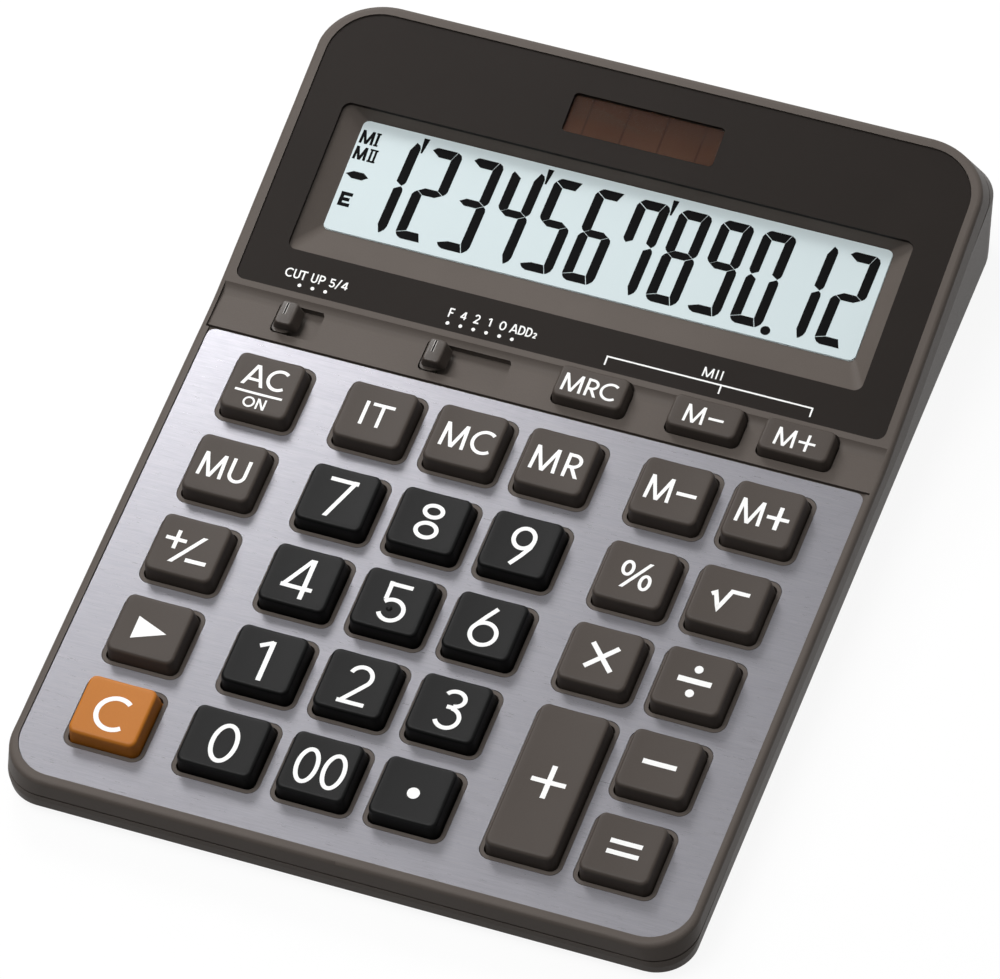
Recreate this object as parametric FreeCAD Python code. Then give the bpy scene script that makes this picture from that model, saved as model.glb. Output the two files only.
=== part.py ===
import FreeCAD, Part
import math
import os

# Desk calculator: two-part case, metal keypad plate, sprung keys, two selector slides and a raised display.
# Millimetres. X to the right, Y towards the display, Z up, origin under the middle of the case.

Vec = FreeCAD.Vector

# Overall sizes and tilts
body_width = 155.0
body_depth = 207.2
base_z = 1.7
plate_front_z = 10.5
keypad_tilt = 3.2
display_tilt = 11.7
front_lip = 2.35
front_corner = 11.0
rear_corner = 15.5
wall = 2.0
floor_thick = 1.6
edge_round = 1.1
bend_radius = 60.0
tall = 60.0
over = 1.0
tiny = 0.01
steep = 0.7

# Keypad plate and the deck under it
plate_width = 151.5
plate_length = 119.3
plate_thick = 0.5
plate_front_corner = 9.5
plate_rear_corner = 2.0
plate_clear = 0.1
rim_height = 0.35
deck_depth = 2.0

# Strip with the selectors, between the plate and the display
strip_length = 13.84
strip_drop = 0.3
strip_cove = 4.0
strip_margin = 0.8
strip_gap = 0.9
strip_gap_depth = 1.2
ledge_width = 0.5
display_rise = 0.83

# Display panel, its window and the solar cell, in the plane of the display
panel_width = 150.2
panel_length = 71.2
panel_thick = 1.0
panel_top_corner = 12.0
panel_bottom_corner = 2.2
display_deck_depth = 2.8
bezel_width = 133.2
bezel_bottom = 10.1
bezel_top = 48.1
bezel_corner = 2.0
window_width = 123.9
window_bottom = 18.5
window_top = 46.8
window_corner = 1.5
window_depth = 4.2
funnel_wall = 2.4
solar_width = 35.2
solar_bottom = 53.95
solar_top = 63.85
solar_corner = 1.0
solar_recess = 0.8
solar_cover_thick = 0.4

# Parting line between the two halves of the case
parting_depth = 4.15
display_parting_depth = 5.75
groove_height = 0.45
groove_depth = 0.5
lean_front = 0.05
lean_side = 0.05
lean_rear = 0.43
front_corner_gain = 0.25
rear_corner_taper = 11.9074
base_inset_front = 0.05
base_inset_rear = 1.75
base_toe = 0.15
base_heel = 6.4
base_front_corner = 9.0
base_rear_corner = 12.0
base_round = 0.6
base_flare_front = 0.06
base_flare_side = 0.085
heel_taper = 0.05
flare_over = 6.5

# Keys
key_pitch_x = 20.93
key_group_gap = 26.18
key_shift = 0.16
key_pitch_y = 21.9
key_top_row_pitch = 22.7
key_front_row = 17.5
plate_hole_width = 18.55
plate_hole_height = 18.4
plate_hole_corner = 2.8
zero_extra = 1.5
collar = 1.0
collar_clear = 0.1
collar_drop = 0.05
key_clear = 0.3
key_corner = 1.8
key_rise = 4.6
key_side_taper = 0.24
key_front_taper = 0.1
key_rear_taper = 0.95
key_top_round = 0.9
key_flange = 0.4
key_flange_gap = 0.15
key_flange_thick = 0.8
key_travel = 1.8
strip_key_width = 17.2
strip_key_height = 9.4
strip_key_rise = 3.2
strip_key_row = 127.1
strip_key_rear_taper = 0.4

# Selector slides
selector_row = 126.4
selector_pitch = 3.0
rounding_x = -60.9
rounding_steps = 2
decimal_x = -26.3
decimal_steps = 5
pocket_height = 8.0
pocket_depth = 1.6
pocket_floor = 0.8
pocket_corner = 1.2
pocket_end_clear = 0.35
slot_height = 1.0
slot_end_clear = 0.3
stem_height = 0.6
stem_width = 2.4
knob_width = 3.8
knob_height = 7.2
knob_shift = -0.2
stem_shift = -3.5
foot_shift = -2.0
knob_rise = 3.0
cap_foot = (-1.8, 4.0, -2.9, 3.0)
cap_top = (-0.9, 2.8, -3.4, 2.8)
knob_gap = 0.2
knob_top_round = 0.4
foot_size = 4.6
foot_thick = 0.7
wiper_gap = 0.1
wiper_width = 1.2

# Boards and what they carry
dome_gap = 0.25
dome_web = 0.4
dome_radius = 3.0
dome_rise = 0.2
dome_taper = 0.6
dome_sheet_margin = 1.0
board_thick = 1.2
board_half_width = 67.3
board_front = 6.0
board_rear = 131.5
post_radius = 2.2
board_screw_radius = 0.9
screw_clear = 0.15
pilot_clear = 0.05
screw_head_radius = 2.1
screw_head_thick = 1.2
screw_bite = 2.6
chip_radius = 6.0
chip_thick = 1.6
chip_taper = 1.2
capacitor_radius = 2.5
capacitor_length = 8.0

# Display stack
glass_overlap = 2.2
glass_thick = 2.2
polariser_thick = 0.3
polariser_margin = 0.1
holder_margin = 2.6
holder_thick = 2.8
holder_lip = 2.0
connector_width = 2.0
display_board_half_width = 72.0
display_board_margin = 3.6
display_screw_x = 69.2
display_screw_rows = (20.0, 46.0)
ribbon_width = 40.0
ribbon_thick = 0.3
ribbon_overlap = 6.0

# Fasteners, feet and the battery bay
case_post_front_x = 70.9
case_post_rear_x = 68.8
case_post_front = -89.0
case_post_rear = 92.5
case_post_radius = 2.8
case_boss_radius = 3.4
case_split_front = 6.2
case_split_rear = 16.0
case_screw_radius = 1.2
case_screw_head_radius = 2.5
case_screw_head_thick = 1.6
case_screw_recess = 0.5
case_screw_bite = 2.2
foot_radius = 5.0
foot_recess = 0.5
foot_x = 60.0
foot_y = 84.0
bay_x = 28.0
bay_y = 62.0
bay_width = 44.0
bay_length = 32.0
bay_top_z = 8.0
bay_rim = 1.8
cover_clear = 0.2
cover_corner = 2.0
cell_radius = 10.0
cell_thick = 3.2
cell_clear = 0.3
cell_shift = -7.0
cover_screw_shift = 14.0
cover_screw_recess = 0.75
contact_thick = 0.3
contact_width = 6.0
contact_pad_radius = 2.0
cover_contact_radius = 6.0
cover_contact_thick = 0.4
contact_gap = 0.05

os.makedirs("parts", exist_ok=True)
parts = {}

half_width = body_width / 2
half_depth = body_depth / 2
keypad_place = FreeCAD.Placement(Vec(0, front_lip - half_depth, plate_front_z),
                                 FreeCAD.Rotation(Vec(1, 0, 0), keypad_tilt))
display_origin = keypad_place.multVec(Vec(0, plate_length + strip_length, display_rise))
display_place = FreeCAD.Placement(display_origin, FreeCAD.Rotation(Vec(1, 0, 0), display_tilt))


def rounded_wire(points, radii, z=0.0):
    # closed outline through the corner points, each corner rounded by its own radius
    edges = []
    ends = []
    count = len(points)
    for i in range(count):
        corner = Vec(points[i][0], points[i][1], z)
        before = Vec(points[i - 1][0], points[i - 1][1], z) - corner
        after = Vec(points[(i + 1) % count][0], points[(i + 1) % count][1], z) - corner
        before.normalize()
        after.normalize()
        half = before.getAngle(after) / 2
        reach = radii[i] / math.tan(half)
        bisector = before + after
        bisector.normalize()
        start = corner + before * reach
        end = corner + after * reach
        centre = corner + bisector * (radii[i] / math.sin(half))
        ends.append((start, centre - bisector * radii[i], end))
    for i in range(count):
        start, middle, end = ends[i]
        edges.append(Part.Arc(start, middle, end).toShape())
        edges.append(Part.LineSegment(end, ends[(i + 1) % count][0]).toShape())
    return Part.Wire(edges)


def rounded_rect(x0, x1, y0, y1, radius, z=0.0):
    corners = [(x0, y0), (x1, y0), (x1, y1), (x0, y1)]
    return rounded_wire(corners, [radius] * 4, z)


def prism(wire, z0, z1):
    solid = Part.Face(wire).extrude(Vec(0, 0, z1 - z0))
    solid.translate(Vec(0, 0, z0))
    return solid


def box(x0, x1, y0, y1, z0, z1):
    return Part.makeBox(x1 - x0, y1 - y0, z1 - z0, Vec(x0, y0, z0))


def rod(x, y, z0, z1, radius):
    return Part.makeCylinder(radius, z1 - z0, Vec(x, y, z0))


def placed(shape, place):
    moved = shape.copy()
    moved.Placement = place.multiply(moved.Placement)
    return moved


def on_keypad(shape):
    return placed(shape, keypad_place)


def on_display(shape):
    return placed(shape, display_place)


def joined(first, *others):
    return first.fuse(list(others)).removeSplitter()


def side_slab(points, arcs=()):
    # outline in the YZ plane carried across the whole width; arcs name corners that are rounded
    radii = dict(arcs)
    edges = []
    count = len(points)
    ends = []
    for i in range(count):
        corner = Vec(0, points[i][0], points[i][1])
        if i not in radii:
            ends.append((corner, None, corner))
            continue
        before = Vec(0, *points[i - 1]) - corner
        after = Vec(0, *points[(i + 1) % count]) - corner
        before.normalize()
        after.normalize()
        half = before.getAngle(after) / 2
        bisector = before + after
        bisector.normalize()
        reach = radii[i] / math.tan(half)
        middle = corner + bisector * (radii[i] / math.sin(half) - radii[i])
        ends.append((corner + before * reach, middle, corner + after * reach))
    for i in range(count):
        start, middle, end = ends[i]
        if middle is not None:
            edges.append(Part.Arc(start, middle, end).toShape())
        edges.append(Part.LineSegment(end, ends[(i + 1) % count][0]).toShape())
    face = Part.Face(Part.Wire(edges))
    face.translate(Vec(-body_width, 0, 0))
    return face.extrude(Vec(2 * body_width, 0, 0))


def keypad_yz(y, n):
    point = keypad_place.multVec(Vec(0, y, n))
    return (point.y, point.z)


def display_yz(t, n):
    point = display_place.multVec(Vec(0, t, n))
    return (point.y, point.z)


def bent_line(keypad_offset, display_offset, y_front, y_rear):
    # front point, bend and rear point of a line that follows the keypad and then the display
    k0 = keypad_yz(0, keypad_offset)
    d0 = display_yz(0, display_offset)
    k_slope = math.tan(math.radians(keypad_tilt))
    d_slope = math.tan(math.radians(display_tilt))
    bend_y = (k0[1] - d0[1] + d_slope * d0[0] - k_slope * k0[0]) / (d_slope - k_slope)
    front = (y_front, k0[1] + k_slope * (y_front - k0[0]))
    bend = (bend_y, k0[1] + k_slope * (bend_y - k0[0]))
    rear = (y_rear, d0[1] + d_slope * (y_rear - d0[0]))
    return [front, bend, rear]


def above(line):
    return line + [(line[2][0], line[2][1] + tall), (line[0][0], line[2][1] + tall)]


def below(line):
    return [(line[0][0], -tall), (line[2][0], -tall)] + line[::-1]


# Key layout: column and row centres in the keypad plane
column_3 = key_shift - key_pitch_x / 2
column_4 = key_shift + key_pitch_x / 2
column_2 = column_3 - key_pitch_x
column_1 = column_2 - key_group_gap
column_5 = column_4 + key_group_gap
column_6 = column_5 + key_pitch_x
row_5 = key_front_row
row_4 = row_5 + key_pitch_y
row_3 = row_4 + key_pitch_y
row_2 = row_3 + key_pitch_y
row_1 = row_2 + key_top_row_pitch
columns = [column_1, column_2, column_3, column_4, column_5, column_6]
rows = [row_1, row_2, row_3, row_4, row_5]
key_grid = [
    ["key_ac", "key_it", "key_mc", "key_mr", "key_m_minus", "key_m_plus"],
    ["key_mu", "key_7", "key_8", "key_9", "key_percent", "key_root"],
    ["key_sign", "key_4", "key_5", "key_6", "key_times", "key_divide"],
    ["key_shift", "key_1", "key_2", "key_3", "key_plus", "key_minus"],
    ["key_c", "key_0", "key_00", "key_point", None, "key_equals"],
]
strip_keys = {"key_mrc": column_4, "key_m2_minus": column_5, "key_m2_plus": column_6}

# Each keypad key: left, right, front and rear of its hole in the plate
key_holes = {}
for row_names, row_y in zip(key_grid, rows):
    for name, column_x in zip(row_names, columns):
        if name is None:
            continue
        left = column_x - plate_hole_width / 2
        right = column_x + plate_hole_width / 2
        front = row_y - plate_hole_height / 2
        rear = row_y + plate_hole_height / 2
        if name == "key_0":
            left -= zero_extra
        if name == "key_plus":
            front -= key_pitch_y
        key_holes[name] = (left, right, front, rear)
strip_holes = {}
for name, column_x in strip_keys.items():
    strip_holes[name] = (column_x - strip_key_width / 2, column_x + strip_key_width / 2,
                         strip_key_row - strip_key_height / 2, strip_key_row + strip_key_height / 2)


def grown(hole, amount):
    return (hole[0] - amount, hole[1] + amount, hole[2] - amount, hole[3] + amount)


def hole_prism(hole, radius, z0, z1):
    return prism(rounded_rect(*hole, radius), z0, z1)


# Levels below the plate surface, shared by the keys, the dome sheet and the boards
deck_under = -deck_depth
flange_top = deck_under - key_flange_gap
flange_bottom = flange_top - key_flange_thick
web_top = flange_bottom - key_travel - dome_gap
web_bottom = web_top - dome_web
board_top = web_bottom
board_bottom = board_top - board_thick

# Selector travel and slots
selectors = {"rounding": (rounding_x, rounding_x + rounding_steps * selector_pitch),
             "decimal": (decimal_x, decimal_x + decimal_steps * selector_pitch)}
selector_floor = -strip_drop - pocket_depth
selector_under = selector_floor - pocket_floor
slide_foot_top = selector_under - key_flange_gap
slide_foot_bottom = slide_foot_top - foot_thick
stem_row = selector_row + stem_shift
foot_row = selector_row + foot_shift


def selector_box(ends, half_x, row, half_y, z0, z1):
    # block over the whole run of a selector, wider than its stops by half_x at each end
    return box(ends[0] - half_x, ends[1] + half_x, row - half_y, row + half_y, z0, z1)


# Places of the board posts, between the key columns
board_posts = []
for x in ((column_1 + column_2) / 2, (column_4 + column_5) / 2):
    for y in ((row_3 + row_4) / 2, (row_1 + row_2) / 2):
        board_posts.append((x, y))
display_posts = []
for x in (-display_screw_x, display_screw_x):
    for t in display_screw_rows:
        display_posts.append((x, t))
case_posts = []
for side in (-1, 1):
    case_posts.append((side * case_post_front_x, case_post_front, case_split_front))
    case_posts.append((side * case_post_rear_x, case_post_rear, case_split_rear))

# Display stack levels, below the surface of the display panel
glass_top = -window_depth
glass_bottom = glass_top - glass_thick
holder_bottom = glass_bottom - holder_thick
display_board_bottom = holder_bottom - board_thick
glass_half = window_width / 2 + glass_overlap
glass_front = window_bottom - glass_overlap
glass_rear = window_top + glass_overlap


def make_top_case():
    rim_line = bent_line(rim_height, rim_height, -body_depth, body_depth)
    parting = bent_line(-parting_depth, -display_parting_depth, -body_depth, body_depth)
    outline = parting + rim_line[::-1]
    shell = side_slab(outline, {4: bend_radius}).common(leaning_case(0))
    shell = shell.makeFillet(edge_round, top_edges(shell, parting))

    # hollow under the deck
    inner_line = bent_line(-deck_depth, -display_deck_depth, -body_depth, body_depth)
    hollow = side_slab(below(inner_line)).common(leaning_case(wall))
    shell = shell.cut(hollow)

    # funnel block round the display window, posts for the boards and for the case screws
    bezel_half = bezel_width / 2 + funnel_wall
    block = box(-bezel_half, bezel_half, bezel_bottom - funnel_wall, bezel_top + funnel_wall,
                -window_depth, -panel_thick)
    adds = [on_display(block)]
    pocket_half = knob_width / 2 + pocket_end_clear
    for ends in selectors.values():
        tray = selector_box(ends, pocket_half + pocket_floor, selector_row, pocket_height / 2 + pocket_floor,
                            selector_under, -strip_drop)
        adds.append(on_keypad(tray))
    for x, y in board_posts:
        adds.append(on_keypad(rod(x, y, board_top, -plate_thick, post_radius)))
    for x, t in display_posts:
        adds.append(on_display(rod(x, t, holder_bottom, -panel_thick, post_radius)))
    for x, y, split in case_posts:
        adds.append(rod(x, y, split, tall, case_post_radius).common(hollow))
    shell = joined(shell, *adds)

    cuts = []
    # recesses for the plate, the strip and the display panel
    plate_half = plate_width / 2 + plate_clear
    plate_corners = [(-plate_half, -plate_clear), (plate_half, -plate_clear),
                     (plate_half, plate_length), (-plate_half, plate_length)]
    plate_radii = [plate_front_corner, plate_front_corner, plate_rear_corner, plate_rear_corner]
    plate_outline = rounded_wire(plate_corners, plate_radii)
    collars = []
    for hole in key_holes.values():
        collars.append(hole_prism(grown(hole, -collar_clear), plate_hole_corner, -plate_thick, 0))
    cuts.append(on_keypad(prism(plate_outline, -collar_drop, key_rise)))
    cuts.append(on_keypad(prism(plate_outline, -plate_thick, -collar_drop).cut(collars)))
    strip_rear = plate_length + strip_length - ledge_width
    strip_front = plate_length - plate_rear_corner
    gap_rear = plate_length + strip_gap
    strip_points = [(strip_front, -plate_thick), (plate_length, -plate_thick),
                    (plate_length, -strip_gap_depth), (gap_rear, -strip_gap_depth),
                    (gap_rear, -strip_drop), (strip_rear, -strip_drop),
                    (strip_rear, key_rise), (strip_front, key_rise)]
    strip_half = plate_half + strip_margin
    strip_span = box(-strip_half, strip_half, plate_length, body_depth, -tall, tall)
    strip_span = strip_span.fuse(box(-plate_half, plate_half, 0, plate_length, -tall, tall))
    cuts.append(on_keypad(side_slab(strip_points, {5: strip_cove}).common(strip_span)))
    panel_half = panel_width / 2 + plate_clear
    cuts.append(on_display(prism(panel_wire(panel_half, plate_clear), -panel_thick, key_rise)))
    # sloping funnel from the bezel down to the display window
    upper = bezel_wire(-panel_thick)
    lower = window_wire(-window_depth)
    cuts.append(on_display(Part.makeLoft([upper, lower], True, True)))
    cuts.append(on_display(prism(window_wire(0), -window_depth - over, -window_depth)))
    # pocket for the solar cell
    solar_hole = solar_wire(plate_clear)
    cuts.append(on_display(prism(solar_hole, -display_deck_depth + solar_recess, -panel_thick)))
    # key holes in the deck
    for hole in key_holes.values():
        cuts.append(on_keypad(hole_prism(grown(hole, -collar), key_corner, -deck_depth - over, 0)))
    for hole in strip_holes.values():
        cuts.append(on_keypad(hole_prism(hole, key_corner, -deck_depth - over, key_rise)))
    # pocket of each selector, and the slot in its floor for the stem
    for ends in selectors.values():
        sides = (ends[0] - pocket_half, ends[1] + pocket_half,
                 selector_row - pocket_height / 2, selector_row + pocket_height / 2)
        cuts.append(on_keypad(hole_prism(sides, pocket_corner, selector_floor, 0)))
        cuts.append(on_keypad(selector_box(ends, stem_width / 2 + slot_end_clear, stem_row, slot_height / 2,
                                           selector_under - over, 0)))
    # pilot holes for the screws
    for x, y in board_posts:
        cuts.append(on_keypad(rod(x, y, board_top, board_top + screw_bite + screw_clear,
                                  board_screw_radius + pilot_clear)))
    for x, t in display_posts:
        cuts.append(on_display(rod(x, t, holder_bottom, holder_bottom + screw_bite + screw_clear,
                                   board_screw_radius + pilot_clear)))
    for x, y, split in case_posts:
        pilot_end = split + case_screw_bite + screw_clear
        cuts.append(rod(x, y, split, pilot_end, case_screw_radius + pilot_clear))
    return shell.cut(cuts)


def top_edges(shell, parting):
    # outer edges of the upper face: those well above the parting line that border one steep wall
    found = []
    for edge in shell.Edges:
        middle = edge.valueAt((edge.FirstParameter + edge.LastParameter) / 2)
        if middle.z < height_on(parting, middle.y) + parting_depth / 2:
            continue
        faces = shell.ancestorsOfType(edge, Part.Face)
        walls = 0
        for face in faces:
            normal = face.normalAt(*face.Surface.parameter(middle))
            if abs(normal.z) < steep:
                walls += 1
        if walls == 1:
            found.append(edge)
    return found


def height_on(line, y):
    first, second = (line[0], line[1]) if y < line[1][0] else (line[1], line[2])
    return first[1] + (second[1] - first[1]) * (y - first[0]) / (second[0] - first[0])


def bezel_wire(z):
    return rounded_rect(-bezel_width / 2, bezel_width / 2, bezel_bottom, bezel_top, bezel_corner, z)


def window_wire(z):
    return rounded_rect(-window_width / 2, window_width / 2, window_bottom, window_top, window_corner, z)


def panel_wire(half, grow):
    corners = [(-half, -grow), (half, -grow), (half, panel_length + grow), (-half, panel_length + grow)]
    radii = [panel_bottom_corner, panel_bottom_corner, panel_top_corner, panel_top_corner]
    return rounded_wire(corners, radii)


def solar_wire(grow):
    half = solar_width / 2 + grow
    return rounded_rect(-half, half, solar_bottom - grow, solar_top + grow, solar_corner)


def case_outline(z, front_half, rear_half, front, rear, radii):
    corners = [(-front_half, front), (front_half, front), (rear_half, rear), (-rear_half, rear)]
    return rounded_wire(corners, [radii[0], radii[0], radii[1], radii[1]], z)


def rear_top():
    return bent_line(rim_height, rim_height, -half_depth, half_depth)[2][1]


def flare_top():
    # height that the blocks are drawn up to, clear of the top surface
    return rear_top() + flare_over


def leaning_case(inset):
    # walls that lean outwards from the rim down, the rear wall most
    front_z = keypad_yz(-front_lip, rim_height)[1]
    rear_z = rear_top()
    rear_corner_gain = rear_corner_taper / rear_z
    outlines = []
    for z in (0, flare_top()):
        front_drop = front_z - z
        rear_drop = rear_z - z
        radii = (front_corner - front_corner_gain * front_drop - inset,
                 rear_corner - rear_corner_gain * rear_drop - inset)
        outlines.append(case_outline(z, half_width + lean_side * front_drop - inset,
                                     half_width + lean_side * rear_drop - inset,
                                     inset - half_depth - lean_front * front_drop,
                                     half_depth + lean_rear * rear_drop - inset, radii))
    return Part.makeLoft(outlines, True, True)


def base_case(inset, z0):
    # block that narrows from the parting line down to the base, more so towards the rear
    outlines = []
    for z in (base_z, flare_top()):
        gain = base_flare_side * (z - base_z)
        radii = (base_front_corner - inset, base_rear_corner - inset)
        outlines.append(case_outline(z, half_width - base_inset_front + gain - inset,
                                     half_width - base_inset_rear + gain - inset,
                                     inset - half_depth - base_toe - base_flare_front * (z - base_z),
                                     half_depth + base_heel - heel_taper * (z - base_z) - inset, radii))
    block = Part.makeLoft(outlines, True, True)
    reach = 2 * body_depth
    return block.common(box(-body_width, body_width, -reach, reach, z0, flare_top())).common(leaning_case(inset))


def make_bottom_case():
    outer = base_case(0, base_z)
    base_edges = [e for e in outer.Edges if e.BoundBox.ZMax < base_z + tiny]
    outer = outer.makeFillet(base_round, base_edges)
    tub = outer.cut(base_case(wall, base_z + floor_thick))
    parting = bent_line(-parting_depth, -display_parting_depth, -body_depth, body_depth)
    tub = tub.common(side_slab(below(parting)))
    # shadow gap under the parting line
    band = parting + [(y, z - groove_height) for y, z in parting[::-1]]
    tub = tub.cut(side_slab(band).cut(leaning_case(groove_depth)))
    floor_z = base_z + floor_thick
    adds = []
    for x, y, split in case_posts:
        adds.append(rod(x, y, base_z, split, case_boss_radius))
    adds.append(prism(bay_wire(0), base_z, bay_top_z))
    tub = joined(tub, *adds)
    cuts = []
    head_seat = base_z + case_screw_recess + case_screw_head_thick
    for x, y, split in case_posts:
        cuts.append(rod(x, y, base_z - over, head_seat, case_screw_head_radius + screw_clear))
        cuts.append(rod(x, y, head_seat, split, case_screw_radius + screw_clear))
    for x, y in foot_places():
        cuts.append(rod(x, y, base_z - over, base_z + foot_recess, foot_radius))
    cuts.append(prism(bay_wire(cover_clear - bay_rim), base_z - over, floor_z))
    cuts.append(rod(bay_x + cell_shift, bay_y, floor_z, bay_top_z, cell_radius + cell_clear))
    cuts.append(rod(bay_x + cover_screw_shift, bay_y, floor_z, floor_z + screw_bite + screw_clear,
                    board_screw_radius + pilot_clear))
    return tub.cut(cuts)


def bay_wire(grow):
    half_w = bay_width / 2 + grow
    half_l = bay_length / 2 + grow
    return rounded_rect(bay_x - half_w, bay_x + half_w, bay_y - half_l, bay_y + half_l, cover_corner)


def foot_places():
    return [(x, y) for x in (-foot_x, foot_x) for y in (-foot_y, foot_y)]


def make_key(hole, rise, base_level, rear_taper):
    # the rear of the cap slopes more than its sides, and its front hardly slopes
    body = grown(hole, -key_clear)
    top = (body[0] + key_side_taper, body[1] - key_side_taper,
           body[2] + key_front_taper, body[3] - rear_taper)
    lower = rounded_rect(*body, key_corner, base_level)
    upper = rounded_rect(*top, key_corner, rise)
    cap = Part.makeLoft([lower, upper], True, True)
    top_loop = [e for e in cap.Edges if e.BoundBox.ZMin > rise - tiny]
    cap = cap.makeFillet(key_top_round, top_loop)
    stem = hole_prism(body, key_corner, flange_bottom, base_level)
    flange = hole_prism(grown(hole, key_flange), key_corner, flange_bottom, flange_top)
    return on_keypad(joined(cap, stem, flange))


def make_plate():
    half = plate_width / 2
    corners = [(-half, 0), (half, 0), (half, plate_length), (-half, plate_length)]
    radii = [plate_front_corner, plate_front_corner, plate_rear_corner, plate_rear_corner]
    plate = prism(rounded_wire(corners, radii), -plate_thick, 0)
    cuts = []
    for hole in key_holes.values():
        cuts.append(hole_prism(hole, plate_hole_corner, -plate_thick - over, over))
    return on_keypad(plate.cut(cuts))


def make_panel():
    panel = prism(panel_wire(panel_width / 2, 0), -panel_thick, 0)
    cuts = [prism(wire, -panel_thick - over, over) for wire in (bezel_wire(0), solar_wire(0))]
    return on_display(panel.cut(cuts))


def make_slide(x):
    half_w = knob_width / 2
    knob_row = selector_row + knob_shift
    knob_under = selector_floor + knob_gap
    sides = (x - half_w, x + half_w, knob_row - knob_height / 2, knob_row + knob_height / 2)
    cap_under = knob_gap - strip_drop
    block = hole_prism(sides, pocket_corner, knob_under, cap_under)
    # cap above the pocket, steep at the left and sloping down to the right
    outlines = []
    for (left, right, front, rear), z in ((cap_foot, cap_under), (cap_top, knob_rise)):
        outlines.append(rounded_rect(x + left, x + right, selector_row + front, selector_row + rear,
                                     pocket_corner, z))
    cap = Part.makeLoft(outlines, True, True)
    cap_loop = [e for e in cap.Edges if e.BoundBox.ZMin > knob_rise - tiny]
    cap = cap.makeFillet(knob_top_round, cap_loop)
    stem = selector_box((x, x), stem_width / 2, stem_row, stem_height / 2, slide_foot_bottom, knob_under)
    foot = selector_box((x, x), foot_size / 2, foot_row, foot_size / 2, slide_foot_bottom, slide_foot_top)
    return on_keypad(joined(block, cap, stem, foot))


def make_wiper(x):
    # bridge under the slide's foot with two legs that reach down to the board
    bridge = selector_box((x, x), wiper_width / 2, foot_row, foot_size / 2,
                          slide_foot_bottom - contact_thick, slide_foot_bottom)
    legs = []
    for y in (foot_row - foot_size / 2, foot_row + foot_size / 2 - contact_thick):
        legs.append(box(x - wiper_width / 2, x + wiper_width / 2, y, y + contact_thick,
                        board_top + wiper_gap, slide_foot_bottom))
    return on_keypad(joined(bridge, *legs))


def make_dome_sheet():
    web = box(-board_half_width, board_half_width, board_front, board_rear, web_bottom, web_top)
    selectors_end = selectors["decimal"][1] + foot_size
    selectors_front = row_1 + plate_hole_height / 2 + dome_sheet_margin
    cuts = [box(-board_half_width, selectors_end, selectors_front, board_rear + over,
                web_bottom - over, web_top + over)]
    for x, y in board_posts:
        cuts.append(rod(x, y, web_bottom - over, web_top + over, post_radius + screw_clear))
    domes = []
    for left, right, front, rear in list(key_holes.values()) + list(strip_holes.values()):
        domes.append(Part.makeCone(dome_radius, dome_radius - dome_taper, dome_rise,
                                   Vec((left + right) / 2, (front + rear) / 2, web_top)))
    return on_keypad(joined(web.cut(cuts), *domes))


def make_main_board():
    board = box(-board_half_width, board_half_width, board_front, board_rear, board_bottom, board_top)
    cuts = []
    for x, y in board_posts:
        cuts.append(rod(x, y, board_bottom - over, board_top + over, board_screw_radius + screw_clear))
    return on_keypad(board.cut(cuts))


def make_screw(x, y, seat, bite, radius, head_radius, head_thick):
    # head below the seat, shank above it
    return joined(rod(x, y, seat - head_thick, seat, head_radius), rod(x, y, seat, seat + bite, radius))


def make_board_screws():
    screws = []
    for x, y in board_posts:
        screws.append(on_keypad(make_screw(x, y, board_bottom, board_thick + screw_bite, board_screw_radius,
                                           screw_head_radius, screw_head_thick)))
    for x, t in display_posts:
        screws.append(on_display(make_screw(x, t, display_board_bottom, board_thick + screw_bite,
                                            board_screw_radius, screw_head_radius, screw_head_thick)))
    return Part.makeCompound(screws)


def make_case_screws():
    head_seat = base_z + case_screw_recess + case_screw_head_thick
    screws = []
    for x, y, split in case_posts:
        screws.append(make_screw(x, y, head_seat, split - head_seat + case_screw_bite, case_screw_radius,
                                 case_screw_head_radius, case_screw_head_thick))
    return Part.makeCompound(screws)


def make_display_stack():
    # glass behind the window, its front film, the holder round it, the contact strip and the board
    glass = box(-glass_half, glass_half, glass_front, glass_rear, glass_bottom, glass_top)
    film_half = window_width / 2 - polariser_margin
    film_outline = rounded_rect(-film_half, film_half, window_bottom + polariser_margin,
                                window_top - polariser_margin, window_corner)
    film = prism(film_outline, glass_top, glass_top + polariser_thick)
    outer = grown((-glass_half, glass_half, glass_front, glass_rear), holder_margin)
    inner = grown((-glass_half, glass_half, glass_front, glass_rear), -holder_lip)
    holder = box(*outer, holder_bottom, glass_bottom)
    holder = holder.cut(box(*inner, holder_bottom - over, glass_bottom + over))
    connector = box(inner[0], inner[1], inner[2], inner[2] + connector_width, holder_bottom, glass_bottom)
    board = box(-display_board_half_width, display_board_half_width, outer[2] - display_board_margin,
                outer[3] + display_board_margin, display_board_bottom, holder_bottom)
    cuts = []
    for x, t in display_posts:
        cuts.append(rod(x, t, display_board_bottom - over, holder_bottom + over,
                        board_screw_radius + screw_clear))
    parts["lcd_glass"] = on_display(glass)
    parts["lcd_polariser"] = on_display(film)
    parts["lcd_holder"] = on_display(holder)
    parts["lcd_connector_strip"] = on_display(connector)
    parts["display_board"] = on_display(board.cut(cuts))


def make_ribbon():
    # flat cable against the underside of both boards, sloping from one to the other
    board_edge = glass_front - holder_margin - display_board_margin
    upper = [keypad_yz(board_rear - ribbon_overlap, board_bottom), keypad_yz(board_rear, board_bottom),
             display_yz(board_edge, display_board_bottom),
             display_yz(board_edge + ribbon_overlap, display_board_bottom)]
    lower = [(y, z - ribbon_thick) for y, z in upper]
    span = box(-ribbon_width / 2, ribbon_width / 2, -body_depth, body_depth, -tall, tall)
    return side_slab(upper + lower[::-1]).common(span)


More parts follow.
